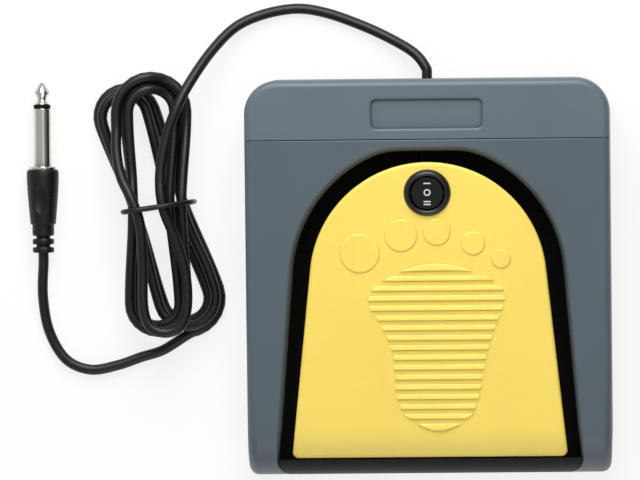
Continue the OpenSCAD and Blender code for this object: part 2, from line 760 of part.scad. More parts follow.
module rocker_button() color([0.14, 0.14, 0.15]) {
    r = button_d / 2;
    dish_r = (r * r + button_dish * button_dish) / (2 * button_dish);
    on_plate(rocker_y) translate([0, 0, pivot_z]) {
        difference() {
            rotate_extrude() polygon(concat(
                [[0, -button_low]],
                arc(0, 0, r, -asin(button_low / r), asin(button_top / r), 8),
                [[0, button_top]]
            ));
            translate([0, 0, button_top - button_dish + dish_r])
                rotate([0, 90, 0]) cylinder(h = 2 * button_d, r = dish_r, center = true, $fn = 96);
        }
        rotate([0, 90, 0]) cylinder(h = 2 * (well_r + trunnion_in), r = trunnion_r, center = true);
        translate([-stem[0] / 2, -stem[1] / 2, stem_lap - button_low - stem[2]]) cube(stem);
    }
}

module rocker_terminals() color([0.8, 0.78, 0.7]) {
    on_plate(rocker_y) for (k = [-1, 0, 1])
        translate([-terminal[0] / 2, k * terminal_step - terminal[1] / 2, -barrel_h - terminal_out])
            cube([terminal[0], terminal[1], barrel_h + terminal_out + cavity_z + terminal_in]);
}

// Wiring under the plate: three wires from the rocker to the switch, and one from the cord
wire_r = 0.6;
wire_lane = 2;
wire_side = 4;
wire_gap = 0.1;
solder_gap = 0.3;
wire_z = tray_z + wire_r + wire_gap;
rocker_wire_z = slope_z(rocker_y, plate_slope) - (barrel_h + terminal_out) * cos(plate_slope);
rocker_wire_y = rocker_y + (barrel_h + terminal_out) * sin(plate_slope);
module rocker_wires() color([0.5, 0.1, 0.1]) {
    hang = rocker_wire_z - wire_z;
    for (k = [-1, 0, 1]) {
        lane = wire_side + k * wire_lane;
        reach = k * terminal_step;
        top = [0, rocker_wire_y + reach, rocker_wire_z - wire_r - solder_gap + reach * tan(plate_slope)];
        path = [
            top + [wire_gap / 10, 0, 0],
            top + [lane / 2, -wire_r, -hang / 8],
            top + [lane, -spring_d / 3, -hang / 3],
            [lane, rocker_y - spring_d / 2, wire_z + hang / 4],
            [lane, spring_y - wire_lane, wire_z + wire_lane / 2],
            [lane, bridge_y, wire_z],
            [lane, plate_y, wire_z],
            [lane, switch_y + switch_l / 2 + wire_r, wire_z]
        ];
        tube(smooth_run(path, 3), wire_r, 6);
    }
}

module switch_wire() color([0.1, 0.1, 0.1]) {
    start_y = clamp_y - clamp_d / 2 - wire_r - solder_gap;
    way_y = seam_y - crown_band;
    path = [
        [-wire_r, start_y, exit_z], [-2 * wire_r, (start_y + way_y) / 2, (exit_z + wire_z) / 2],
        [-wire_lane, way_y, wire_z + wire_gap], [-wire_lane, way_y - spring_d, wire_z],
        [-wire_side, spring_y, wire_z], [-wire_side, plate_y, wire_z],
        [-wire_side + wire_r, switch_y + switch_l / 2, wire_z + wire_r]
    ];
    tube(smooth_run(path, 3), wire_r, 6);
}

// Snap-action switch on its bracket
plunger_at = 7;
plunger_gap = 0.4;
plunger_top = lever_z + plunger_at * tan(lever_rise) - lever_t / 2 / cos(lever_rise) - plunger_gap;
plunger_travel = 1.6;
plunger_bore = 3;
plunger_round = 0.6;
lever_w = 4;
lever_hub_r = 0.8;
lever_pin_r = 0.45;
lever_ear = [0.6, 2.4];
ear_top_z = lever_z + lever_hub_r;
contact = [0.5, 2.4];
contact_step = 7;
small_head = 1.9;
small_head_h = 1.2;
module switch_body() color([0.13, 0.13, 0.13]) {
    difference() {
        union() {
            translate([-switch_w / 2, switch_y - switch_l / 2, switch_bottom])
                cube([switch_w, switch_l, switch_h]);
            for (s = [-1, 1])
                translate([s * (switch_w - lever_ear[0]) / 2, lever_y, (ear_top_z + switch_top - over) / 2])
                    cube([lever_ear[0], lever_ear[1], ear_top_z - switch_top + over], center = true);
        }
        for (s = [-1, 1]) translate([0, switch_y + s * switch_hole_step / 2, switch_hole_z])
            rotate([0, 90, 0])
                cylinder(h = switch_w + 2 * over, d = switch_screw_d + 2 * run_gap, center = true);
        translate([0, lever_y + plunger_at, switch_top - plunger_bore])
            cylinder(h = plunger_bore + over, d = plunger_d + 2 * run_gap);
        translate([0, lever_y, lever_z]) rotate([0, 90, 0])
            cylinder(h = switch_w + 2 * over, r = lever_pin_r + run_gap, center = true);
    }
}

module switch_terminals() color([0.8, 0.78, 0.7]) {
    low = tray_z + clamp_screw_sink;
    for (k = [-1, 0, 1]) translate([-contact[0] / 2, switch_y + k * contact_step - contact[1] / 2, low])
        cube([contact[0], contact[1], switch_bottom - low]);
}

module switch_plunger() color([0.8, 0.1, 0.1]) {
    low = switch_top - plunger_bore + plunger_travel + wire_gap;
    translate([0, lever_y + plunger_at, 0]) rotate_extrude() polygon(concat(
        [[0, low], [plunger_d / 2, low]],
        arc(plunger_d / 2 - plunger_round, plunger_top - plunger_round, plunger_round, 0, 90, 4),
        [[0, plunger_top]]
    ));
}

module switch_lever() color([0.75, 0.75, 0.77]) {
    translate([0, lever_y, lever_z]) {
        rotate([0, 90, 0]) cylinder(h = lever_w, r = lever_hub_r, center = true);
        rotate([0, 90, 0]) cylinder(h = switch_w, r = lever_pin_r, center = true);
        rotate([lever_rise, 0, 0]) translate([-lever_w / 2, 0, -lever_t / 2])
            cube([lever_w, lever_l, lever_t]);
    }
}

module switch_screws() color([0.7, 0.7, 0.72]) {
    for (s = [-1, 1]) translate([-switch_w / 2, switch_y + s * switch_hole_step / 2, switch_hole_z])
        rotate([0, 90, 0]) {
            translate([0, 0, -small_head_h]) cylinder(h = small_head_h, d = small_head * switch_screw_d);
            translate([0, 0, -small_head_h])
                cylinder(h = small_head_h + switch_w + bracket_t, d = switch_screw_d);
        }
}

module cable_clamp() color([0.1, 0.1, 0.1]) {
    difference() {
        translate([-clamp_w / 2, clamp_y - clamp_d / 2, exit_z]) cube([clamp_w, clamp_d, clamp_t]);
        translate([0, clamp_y, exit_z]) rotate([90, 0, 0])
            cylinder(h = clamp_d + 2 * over, r = groove_r, center = true);
        for (s = [-1, 1]) translate([s * clamp_screw_x, clamp_y, exit_z - over])
            cylinder(h = clamp_t + 2 * over, d = switch_screw_d + 2 * screw_gap);
    }
}

module clamp_screws() color([0.7, 0.7, 0.72]) {
    for (s = [-1, 1]) translate([s * clamp_screw_x, clamp_y, 0]) {
        translate([0, 0, exit_z + clamp_t]) cylinder(h = small_head_h, d = small_head * switch_screw_d);
        translate([0, 0, clamp_screw_z])
            cylinder(h = exit_z + clamp_t - clamp_screw_z + over, d = switch_screw_d);
    }
}

module case_screws() color([0.2, 0.2, 0.22]) {
    for (p = both_sides(concat(shell_screws, [cover_screw]))) translate([p[0], p[1], head_z]) {
        cylinder(h = screw_head_h, d = screw_head_d);
        cylinder(h = screw_head_h + screw_l, d = screw_d);
    }
}

foot_round = 0.8;
module rubber_feet() color([0.08, 0.08, 0.08]) {
    for (p = both_sides(feet)) translate([p[0], p[1], 0]) rotate_extrude() polygon([
        [0, 0], [foot_d / 2 - foot_round, 0], [foot_d / 2, foot_round],
        [foot_d / 2, foot_h + foot_seat], [0, foot_h + foot_seat]
    ]);
}

// The cord's hank: loops that wind in and out again on four layers, the upper two across the lower two
hank_out = 33;
hank_ahead = 46.5;
hank_x = -body_w / 2 - hank_out;
hank_y = rear_y - hank_ahead;
hank_lobe_y = 35;
hank_waist = 5.5;
hank_fold_r = 7.2;
hank_step = 4.5;
hank_rise = 4.4;
hank_start = 270;
hank_turns = [720, 1080, 1440];
hank_end = 1930;
hank_climb = 50;
hank_lean = [18, 1];
hank_droop = 4;
droop_from = 10;
droop_over = 24;
droop_in = 2;
droop_wide = 8;
hank_lift = 2.3;
hank_lift_y = 15;
cord_low = 0.1;

function ease(t) = let (c = min(max(t, 0), 1)) c * c * (3 - 2 * c);
function waist_blend(f) = (1 - cos(180 * f)) / 2;
function loop_side(u, y) =
    hank_waist + hank_step * u + (hank_fold_r - hank_waist) * waist_blend(abs(y) / hank_lobe_y);
function loop_at(u, a) = let (r = hank_fold_r + hank_step * u, y = hank_lobe_y)
    a < 60 ? [loop_side(u, y * a / 60), y * a / 60]
    : a < 120 ? [r * cos(3 * (a - 60)), y + r * sin(3 * (a - 60))]
    : a < 240 ? [-loop_side(u, y * (180 - a) / 60), y * (180 - a) / 60]
    : a < 300 ? [-r * cos(3 * (a - 240)), -y - r * sin(3 * (a - 240))]
    : [loop_side(u, y * (a - 360) / 60), y * (a - 360) / 60];
function waist_lift(y) = hank_lift * (abs(y) < hank_lift_y ? (1 + cos(180 * y / hank_lift_y)) / 2 : 0);
function wound_in(a) = a < hank_turns[1] ? abs(a - hank_turns[0]) / 360 : abs(a - hank_turns[2]) / 360;
function free_side(p) =
    ease((abs(p[1]) - droop_from) / droop_over) * ease((p[0] * sign(p[1]) + droop_in) / droop_wide);
function hank_point(a) = let (
    ups = [for (t = hank_turns) ease((a - t + hank_climb) / (2 * hank_climb))],
    p = loop_at(wound_in(a), a % 360),
    lean = hank_lean[0] + ups[1] * (hank_lean[1] - hank_lean[0]),
    rise = hank_rise * (ups[0] + ups[1] + ups[2]) - hank_droop * ups[1] * free_side(p)
) [
    hank_x + p[0] * cos(lean) - p[1] * sin(lean),
    hank_y + p[0] * sin(lean) + p[1] * cos(lean),
    cord_d / 2 + cord_low + rise + waist_lift(p[1])
];
function hank_path(step) = [for (a = [hank_start:step:hank_end]) hank_point(a)];

// Least gap of a run of points to itself, leaving out neighbours along the cord
function self_gap(p, skip) =
    min([for (i = [0:len(p) - 1]) for (j = [i + skip:1:len(p) - 1]) norm(p[i] - p[j])]) - cord_d;

module cord_hank() color([0.08, 0.08, 0.09]) {
    tube(hank_path(10), cord_d / 2, 6);
    echo(hank_least_gap = self_gap(hank_path(4), 8));
}

// The lead, from the clamp out of the rear wall, round to the hank and over it to its upper layer
lead_out = [[0, -20, 9], [0, -10.5, 9], [0, 0.5, 9], [-0.5, 4, 8.8], [-5, 9.5, 7.2], [-15, 15.5, 3.6]];
// From here on the points are measured from the middle of the hank
lead_over = [
    [74, 67, 2.1], [62.5, 71, 2], [52, 72.5, 2], [40, 70.5, 2.4], [30, 66, 4.6], [22, 58, 9.4],
    [15, 48, 15.6], [9.5, 38, 19.4], [5, 26, 20], [2.5, 12, 20.8], [3.5, 0, 22.2], [8, -12, 20.8],
    [11.3, -24, 19.8],
    [11.8, -36, 19.6], [9.3, -43.4, 19.6], [3.8, -45.8, 19.6], [-1.8, -43.4, 19.6], [-4.2, -36, 19.6],
    [-4.2, -20, 20.4], [-5, -6, 22.2], [-8, 3, 21.8], [-11.8, 11, 19.4], [-13.6, 20, 17]
];

module cord_lead() color([0.08, 0.08, 0.09]) {
    path = concat(
        [for (p = lead_out) p + [0, rear_y, 0]],
        [for (p = lead_over) p + [hank_x, hank_y, 0]],
        [hank_point(hank_end)]
    );
    tube(smooth_run(path, 3), cord_d / 2, 8);
}

// The tail, from the hank's lower layer to the plug, measured from the middle of the hank
plug_out = 41.5;
plug_ahead = 8.4;
plug_x = hank_x - plug_out;
plug_z = grip_d / 2 + cord_low;
grip_y = hank_y - plug_ahead;
boot_l = 7.9;
tail_points = [
    [2, -52.5, 2], [-6, -55, 2], [-15, -58, 2], [-25, -59.5, 2], [-34, -55.5, 2], [-40, -45, 2.2],
    [-42, -32, 4.2]
];

module cord_tail() color([0.08, 0.08, 0.09]) {
    head = hank_point(hank_start);
    back = hank_point(hank_start + 1) - hank_point(hank_start);
    plug_end = [plug_x, grip_y - boot_l, plug_z];
    path = concat(
        [head, head - cord_d * unit(back)],
        [for (p = tail_points) p + [hank_x, hank_y, 0]],
        [plug_end - [0, cord_d, cord_low], plug_end]
    );
    tube(smooth_run(path, 2), cord_d / 2, 8);
}

// Wire tie round the hank's waist
tie_d = 1.9;
tie_turn = 8;
tie_points = [
    [-11.6, 9], [-11.5, 17], [-10.6, 22.6], [-7.6, 25.7], [-2, 26], [4, 25.9], [8.6, 23.6], [13.4, 18.4],
    [14.1, 10], [14, 4], [11.2, 1.1], [0, 1], [-8.4, 1], [-11.5, 3.4]
];

module cord_tie() color([0.06, 0.06, 0.06]) {
    n = len(tie_points);
    steps = 3;
    sides = 6;
    ring_at = [for (i = [0:n - 1]) for (k = [0:steps - 1])
        between(
            tie_points[(i + n - 1) % n], tie_points[i],
            tie_points[(i + 1) % n], tie_points[(i + 2) % n], k / steps
        )];
    m = len(ring_at);
    pts = [for (i = [0:m - 1]) let (
        t = unit(ring_at[(i + 1) % m] - ring_at[(i + m - 1) % m]),
        out = [-t[1], t[0]]
    ) for (k = [0:sides - 1]) [
        ring_at[i][0] + tie_d / 2 * cos(360 * k / sides) * out[0],
        tie_d / 2 * sin(360 * k / sides),
        ring_at[i][1] + tie_d / 2 * cos(360 * k / sides) * out[1]
    ]];
    faces = [for (i = [0:m - 1]) for (k = [0:sides - 1]) let (
        a = i * sides + k, b = i * sides + (k + 1) % sides,
        c = ((i + 1) % m) * sides + k, d = ((i + 1) % m) * sides + (k + 1) % sides
    ) each [[a, b, d], [a, d, c]]];
    translate([hank_x, hank_y, 0]) rotate([0, 0, tie_turn]) polyhedron(pts, faces);
}

// Jack plug, lying along Y with its tip to the rear
collar_t = 1.2;
sleeve_y = grip_y + grip_l + collar_t;
ring_t = 1.1;
tip_y = sleeve_y + sleeve_l + ring_t;
rod_r = 1.2;
module along_plug(y) {
    translate([plug_x, y, plug_z]) rotate([-90, 0, 0]) children();
}

rod_grip = 4;
rod_gap = 0.05;
skin_r = rod_r + 0.5;
bore_r = skin_r + rod_gap;
collar_r = 5;
collar_round = 0.4;
// The tip's outline: how far it is drawn in from the shank, and the distance from its shoulder
tip_form = [[0.4, 0], [0.4, 0.6], [1, 2.4], [1, 3], [0.3, 4.2], [0.3, 4.6], [0.9, 6.6], [1.9, 7.8]];

module plug_tip() color([0.72, 0.72, 0.72]) {
    back = -sleeve_l - ring_t - rod_grip;
    along_plug(tip_y) rotate_extrude() polygon(concat(
        [[0, back], [rod_r, back], [rod_r, 0]],
        [for (p = tip_form) [shank_d / 2 - p[0], p[1]]],
        [[0, tip_l]]
    ));
}

ring_in = 0.3;
module plug_insulator() color([0.05, 0.05, 0.05]) {
    along_plug(sleeve_y + sleeve_l) rotate_extrude() polygon([
        [rod_r + rod_gap, -sleeve_l], [skin_r, -sleeve_l], [skin_r, 0], [shank_d / 2 - ring_in, 0],
        [shank_d / 2 - ring_in, ring_t], [rod_r + rod_gap, ring_t]
    ]);
}

module plug_sleeve() color([0.72, 0.72, 0.72]) {
    along_plug(sleeve_y) difference() {
        cylinder(h = sleeve_l, d = shank_d);
        translate([0, 0, -over]) cylinder(h = sleeve_l + 2 * over, r = bore_r);
    }
}

module plug_collar() color([0.72, 0.72, 0.72]) {
    along_plug(grip_y + grip_l) difference() {
        rotate_extrude() polygon([
            [0, 0], [collar_r, 0], [collar_r, collar_t - collar_round],
            [collar_r - collar_round, collar_t], [0, collar_t]
        ]);
        translate([0, 0, -over]) cylinder(h = collar_t + 2 * over, r = bore_r);
    }
}

// The grip's outline: how far it is drawn in from its full radius, and the distance from its neck
grip_form = [[2.4, 0], [2, 0.5], [1.7, 2], [0.5, 12], [0, 16]];
grip_edge = [0.6, 2];
neck_r = grip_d / 2 - grip_form[1][0];
boot_groove = 1.4;
boot_rings = 3;
boot_share = 0.6;
thumb = [4.6, 10];
thumb_at = 9;
thumb_sink = 1.1;
module plug_grip() color([0.09, 0.09, 0.1]) {
    r = grip_d / 2;
    ring_l = boot_l / boot_rings;
    along_plug(grip_y) difference() {
        union() {
            rotate_extrude() polygon(concat(
                [[0, 0]],
                [for (p = grip_form) [r - p[0], p[1]]],
                [[r, grip_l - grip_edge[1]], [r - grip_edge[0], grip_l], [0, grip_l]]
            ));
            translate([0, 0, -boot_l]) cylinder(h = boot_l + over, r = neck_r - boot_groove);
            for (k = [0:boot_rings - 1]) translate([0, 0, -boot_l + k * ring_l])
                cylinder(h = ring_l * boot_share, r = neck_r);
        }
        translate([0, 0, grip_l - rod_grip - over]) cylinder(h = rod_grip + 2 * over, r = bore_r);
        translate([0, -r - over, thumb_at]) rotate([-90, 0, 0]) intersection() {
            cylinder(h = thumb_sink + over, d = thumb[1]);
            cube([thumb[0], 2 * thumb[1], 2 * thumb[1]], center = true);
        }
    }
}

base_tray();
top_shell();
rear_cover();
pedal_plate();
hinge_pin();
return_springs();
stop_pads();
rocker_housing();
rocker_button();
rocker_terminals();
rocker_wires();
switch_body();
switch_terminals();
switch_plunger();
switch_lever();
switch_screws();
switch_wire();
cable_clamp();
clamp_screws();
case_screws();
rubber_feet();
cord_lead();
cord_hank();
cord_tail();
cord_tie();
plug_tip();
plug_insulator();
plug_sleeve();
plug_collar();
plug_grip();
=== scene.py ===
# %% [markdown]
# # A sustain pedal, dressed
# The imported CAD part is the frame: it fixes every size, every joint and every place.
# This lesson gives the pedal its looks. Outer parts that the eye rests on, such as the moulded
# shells, the foot plate, the rocker, the cord and the plug, are modelled again with softer edges.
# Inner parts keep their CAD form and get a finish of their own.

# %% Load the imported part
import math
from contextlib import contextmanager

import bpy
from mathutils import Euler, Matrix, Vector


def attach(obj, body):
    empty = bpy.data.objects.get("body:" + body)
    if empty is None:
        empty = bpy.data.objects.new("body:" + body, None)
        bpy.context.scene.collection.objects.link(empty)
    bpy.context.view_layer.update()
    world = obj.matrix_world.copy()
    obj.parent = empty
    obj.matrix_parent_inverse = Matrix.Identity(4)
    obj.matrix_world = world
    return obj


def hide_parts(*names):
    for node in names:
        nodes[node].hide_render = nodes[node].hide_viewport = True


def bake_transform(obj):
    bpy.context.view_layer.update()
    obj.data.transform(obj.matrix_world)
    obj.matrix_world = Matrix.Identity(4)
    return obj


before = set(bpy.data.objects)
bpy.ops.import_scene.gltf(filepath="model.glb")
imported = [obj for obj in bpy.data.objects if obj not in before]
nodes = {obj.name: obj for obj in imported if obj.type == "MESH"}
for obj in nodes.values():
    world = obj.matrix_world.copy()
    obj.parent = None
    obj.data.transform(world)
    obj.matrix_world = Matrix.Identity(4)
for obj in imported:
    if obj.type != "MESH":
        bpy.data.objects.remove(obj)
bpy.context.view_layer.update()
MM = 0.001

# %% [markdown]
# ## Camera
# The photograph looks straight down on the pedal from far away, so its sides hardly converge.
# A long lens on a camera two metres above the floor does the same. A turn of half a degree and a
# slight lean to the right follow the photograph's own framing.

# %% Camera above the floor
IMAGE_W = 640
SENSOR = 36.0
CAMERA_HEIGHT = 2.2
FIELD_W = 0.2355
LOOK_AT = Vector((-0.0400, 0.0134, 0.0))
LEAN = Euler((math.radians(-0.5), math.radians(1.7), math.radians(-0.55)))

camera_data = bpy.data.cameras.new("camera")
camera_data.sensor_width = SENSOR
camera_data.lens = SENSOR * CAMERA_HEIGHT / FIELD_W
camera_data.clip_start, camera_data.clip_end = 0.1, 20.0
camera = bpy.data.objects.new("camera", camera_data)
bpy.context.scene.collection.objects.link(camera)
camera.rotation_euler = LEAN
camera.location = LOOK_AT + LEAN.to_matrix() @ Vector((0, 0, CAMERA_HEIGHT))
bpy.context.scene.camera = camera
print("lens in mm:", round(camera_data.lens), "and mm per pixel:", round(FIELD_W / IMAGE_W / MM, 3))

# %% [markdown]
# ## Cord
# The real lead is a thin black vinyl cable, wound in an upright hank and tied at its waist.
# A cable is one length of something flexible, so it is one curve with a round section: out of the rear
# wall, over the hank, round and round, and on to the plug. The hank's loops are worked out turn by
# turn, so the strands lie beside each other and never cross through.

# %% The route of the cord, in millimetres
CORD_D = 3.8
REAR_Y = 72.5
HANK = (-100.0, 26.0)
HANK_LOBE, HANK_WAIST, HANK_FOLD, HANK_STEP, HANK_RISE = 35.0, 5.5, 7.2, 4.5, 4.4
HANK_START, HANK_TURNS, HANK_END, HANK_CLIMB, HANK_TICK = 270, (720, 1080, 1440), 1930, 50, 5
HANK_LEAN = (18.0, 1.0)
HANK_LIFT, HANK_LIFT_Y = 2.3, 15.0
HANK_DROOP, DROOP_FROM, DROOP_OVER, DROOP_IN, DROOP_WIDE = 4.0, 10.0, 24.0, 2.0, 8.0
LEVEL_LOW = CORD_D / 2 + 0.1
LEAD_OUT = [(0, -20, 9), (0, -10.5, 9), (0, 0.5, 9), (-0.5, 4, 8.8), (-5, 9.5, 7.2), (-15, 15.5, 3.6)]
LEAD_OVER = [
    (74, 67, 2.1), (62.5, 71, 2), (52, 72.5, 2), (40, 70.5, 2.4), (30, 66, 4.6), (22, 58, 9.4), (15, 48, 15.6),
    (9.5, 38, 19.4), (5, 26, 20), (2.5, 12, 20.8), (3.5, 0, 22.2), (8, -12, 20.8), (11.3, -24, 19.8),
    (11.8, -36, 19.6), (9.3, -43.4, 19.6), (3.8, -45.8, 19.6), (-1.8, -43.4, 19.6), (-4.2, -36, 19.6),
    (-4.2, -20, 20.4), (-5, -6, 22.2), (-8, 3, 21.8), (-11.8, 11, 19.4), (-13.6, 20, 17),
]
TAIL = [
    (2, -52.5, 2), (-6, -55, 2), (-15, -58, 2), (-25, -59.5, 2), (-34, -55.5, 2), (-40, -45, 2.2), (-42, -32, 4.2),
]
PLUG_X, PLUG_Z, GRIP_Y, BOOT_L = -141.5, 6.1, 17.6, 7.9
RUN_STEPS = 6


def eased(t):
    """A smooth step from 0 to 1."""
    t = min(max(t, 0.0), 1.0)
    return t * t * (3 - 2 * t)


def loop_side(turn, y):
    """How far a strand stands off the hank's middle line."""
    blend = (1 - math.cos(math.pi * abs(y) / HANK_LOBE)) / 2
    return HANK_WAIST + HANK_STEP * turn + (HANK_FOLD - HANK_WAIST) * blend


def loop_at(turn, angle):
    """A point of one loop, drawn flat: two sides and two folds. Its halves answer each other, turned round."""
    half = 1 if angle < 180 else -1
    angle %= 180
    fold = HANK_FOLD + HANK_STEP * turn
    if 60 <= angle < 120:
        a = math.radians(3 * (angle - 60))
        return half * fold * math.cos(a), half * (HANK_LOBE + fold * math.sin(a))
    y = HANK_LOBE * min(angle, 180 - angle) / 60
    x = loop_side(turn, y)
    return half * (x if angle < 60 else -x), half * y


def wound_in(angle):
    """How many turns lie inside a strand: the hank is wound in, out, in and out again."""
    near = HANK_TURNS[0] if angle < HANK_TURNS[1] else HANK_TURNS[2]
    return abs(angle - near) / 360


def hank_point(angle):
    """A point of the wound hank, which climbs one layer at each change of direction."""
    ups = [eased((angle - turn + HANK_CLIMB) / (2 * HANK_CLIMB)) for turn in HANK_TURNS]
    x, y = loop_at(wound_in(angle), angle % 360)
    lean = math.radians(HANK_LEAN[0] + ups[1] * (HANK_LEAN[1] - HANK_LEAN[0]))
    free = eased((abs(y) - DROOP_FROM) / DROOP_OVER) * eased((x * math.copysign(1, y) + DROOP_IN) / DROOP_WIDE)
    lift = HANK_LIFT * (1 + math.cos(math.pi * y / HANK_LIFT_Y)) / 2 if abs(y) < HANK_LIFT_Y else 0.0
    return Vector((
        HANK[0] + x * math.cos(lean) - y * math.sin(lean),
        HANK[1] + x * math.sin(lean) + y * math.cos(lean),
        LEVEL_LOW + HANK_RISE * sum(ups) - HANK_DROOP * ups[1] * free + lift,
    ))


def smooth_run(points, steps, closed=False):
    """A smooth run of points through given ones."""
    if closed:
        knots = points[-1:] + points + points[:2]
    else:
        knots = [2 * points[0] - points[1]] + points + [2 * points[-1] - points[-2]]
    run = []
    for a, b, c, d in zip(knots, knots[1:], knots[2:], knots[3:]):
        for t in (k / steps for k in range(steps)):
            run.append(0.5 * (
                2 * b + (c - a) * t + (2 * a - 5 * b + 4 * c - d) * t * t + (3 * b - a - 3 * c + d) * t ** 3
            ))
    return run if closed else run + [points[-1]]


# %% The cord as one curve
def tube_curve(name, points, radius, closed=False, sides=8):
    """A round cable along points in millimetres."""
    data = bpy.data.curves.new(name, "CURVE")
    data.dimensions = "3D"
    data.bevel_depth = radius * MM
    data.bevel_resolution = sides
    data.use_fill_caps = not closed
    spline = data.splines.new("POLY")
    spline.points.add(len(points) - 1)
    for point, place in zip(spline.points, points):
        point.co = (*(place * MM), 1.0)
    spline.use_cyclic_u = closed
    spline.use_smooth = True
    curve = bpy.data.objects.new(name, data)
    bpy.context.scene.collection.objects.link(curve)
    return curve


def from_hank(points):
    return [Vector((HANK[0] + x, HANK[1] + y, z)) for x, y, z in points]


lead_points = [Vector((x, REAR_Y + y, z)) for x, y, z in LEAD_OUT] + from_hank(LEAD_OVER) + [hank_point(HANK_END)]
hank_points = [hank_point(angle) for angle in range(HANK_END - HANK_TICK, HANK_START, -HANK_TICK)]
hank_head = hank_point(HANK_START)
hank_back = (hank_point(HANK_START + 1) - hank_head).normalized()
plug_end = Vector((PLUG_X, GRIP_Y - BOOT_L, PLUG_Z))
tail_points = [hank_head, hank_head - CORD_D * hank_back] + from_hank(TAIL) + [
    plug_end - Vector((0, CORD_D, 0.1)), plug_end]
cord_points = smooth_run(lead_points, RUN_STEPS) + hank_points + smooth_run(tail_points, RUN_STEPS)
cord = tube_curve("cord", cord_points, CORD_D / 2)

# %% [markdown]
# ## Floor and light
# The photograph has a white ground and soft light that falls mostly from behind the pedal, so the rear
# cover is a little lighter than the sloping front. A large lamp behind and above and a weaker one in front
# do that, and the cover's grey is also painted a little lighter than the shell's. The sky is bright to the left
# and dark to the right: that draws the streaks along the plug's sleeve and lets the arch's inner wall fall
# into shade. The floor shows white to the camera and keeps a trace of the shadow.

# %% White floor
FLOOR_Z, FLOOR_SIZE, FLOOR_PAINT, FLOOR_GLOW = -0.0001, 6.0, 0.86, 0.8


def nodes_of(owner):
    """The shader nodes of a material or a world, and their links."""
    owner.use_nodes = True
    return owner.node_tree.nodes, owner.node_tree.links


def set_inputs(node, **values):
    """Set sockets of a node. An underscore in a name stands for a space."""
    for name, value in values.items():
        node.inputs[name.replace("_", " ")].default_value = value


def worked(made, links, operation, *sources):
    """A Math node fed by sockets."""
    step = made.new("ShaderNodeMath")
    step.operation = operation
    for source, socket in zip(sources, step.inputs):
        links.new(source, socket)
    return step


def added(primitive, **settings):
    """Add one primitive with nothing else selected."""
    bpy.ops.object.select_all(action="DESELECT")
    primitive(**settings)
    return bpy.context.object


floor = added(bpy.ops.mesh.primitive_plane_add, size=FLOOR_SIZE)
floor.name = "floor"
for corner in floor.data.vertices:
    corner.co.z = FLOOR_Z
floor_paint = bpy.data.materials.new("floor white")
made, links = nodes_of(floor_paint)
shader = made["Principled BSDF"]
set_inputs(shader, Base_Color=(FLOOR_PAINT, FLOOR_PAINT, FLOOR_PAINT, 1), Roughness=0.9, Specular_IOR_Level=0.1)
glow = made.new("ShaderNodeEmission")
path = made.new("ShaderNodeLightPath")
seen = worked(made, links, "MAXIMUM", path.outputs["Is Camera Ray"], path.outputs["Is Glossy Ray"])
share = worked(made, links, "MULTIPLY", seen.outputs[0])
share.inputs[1].default_value = FLOOR_GLOW
blend = made.new("ShaderNodeMixShader")
for source, socket in ((share, "Fac"), (shader, 1), (glow, 2)):
    links.new(source.outputs[0], blend.inputs[socket])
links.new(blend.outputs[0], made["Material Output"].inputs["Surface"])
floor.data.materials.append(floor_paint)
print("floor width in m:", FLOOR_SIZE)

# %% Lamps and sky
SKY_LEFT, SKY_RIGHT = 0.5, 0.15
SKY_ACROSS = [(-0.74, 0.5), (-0.62, 1.0), (-0.4, 1.0), (-0.28, 0.48), (0.0, 0.62), (0.12, 0.62), (0.2, 0.15)]


def soft_lamp(name, place, aim, size, watts):
    """A square softbox that looks at a point."""
    data = bpy.data.lights.new(name, "AREA")
    data.shape = "SQUARE"
    data.size = size
    data.energy = watts
    lamp = bpy.data.objects.new(name, data)
    bpy.context.scene.collection.objects.link(lamp)
    lamp.location = place
    lamp.rotation_euler = (Vector(aim) - Vector(place)).to_track_quat("-Z", "Y").to_euler()


soft_lamp("rear softbox", (-0.05, 0.48, 0.47), (-0.03, 0.05, 0.0), 0.45, 4.45)
soft_lamp("front softbox", (0.1, -1.1, 0.7), (-0.03, 0.0, 0.0), 0.8, 2.2)
sky = bpy.data.worlds.new("studio")
made, links = nodes_of(sky)
way = made.new("ShaderNodeTexCoord")
across = made.new("ShaderNodeSeparateXYZ")
links.new(way.outputs["Generated"], across.inputs[0])
shade = made.new("ShaderNodeValToRGB")
shade.color_ramp.interpolation = "EASE"
for end, level in ((0, SKY_LEFT), (-1, SKY_RIGHT)):
    shade.color_ramp.elements[end].color = (level, level, level, 1)
for place, level in SKY_ACROSS:
    stop = shade.color_ramp.elements.new((place + 1) / 2)
    stop.color = (level, level, level, 1)
links.new(across.outputs["X"], shade.inputs[0])
links.new(shade.outputs["Color"], made["Background"].inputs["Color"])
bpy.context.scene.world = sky
bpy.context.scene.view_settings.view_transform = "Standard"
print("stops across the sky:", len(shade.color_ramp.elements))

# %% [markdown]
# ## Finishes
# Each plastic is a fine moulded texture: a base colour that drifts a little, a roughness that is never
# quite even and a grain of a few tenths of a millimetre. Metal gets fine marks along it. Each base colour is
# also darkened by painted shade in hollows and creases. One function builds them all, and each finish has its
# own numbers. The yellow plate also lets some light through its skin. The patterns read Object coordinates, in
# metres.


# %% One recipe for moulded and metal finishes
ROUGH_DRIFT = 0.06


def linear(r, g, b):
    """A colour given in screen values from 0 to 255, as linear light."""
    return tuple((c / 255 / 12.92) if c <= 10 else ((c / 255 + 0.055) / 1.055) ** 2.4 for c in (r, g, b))


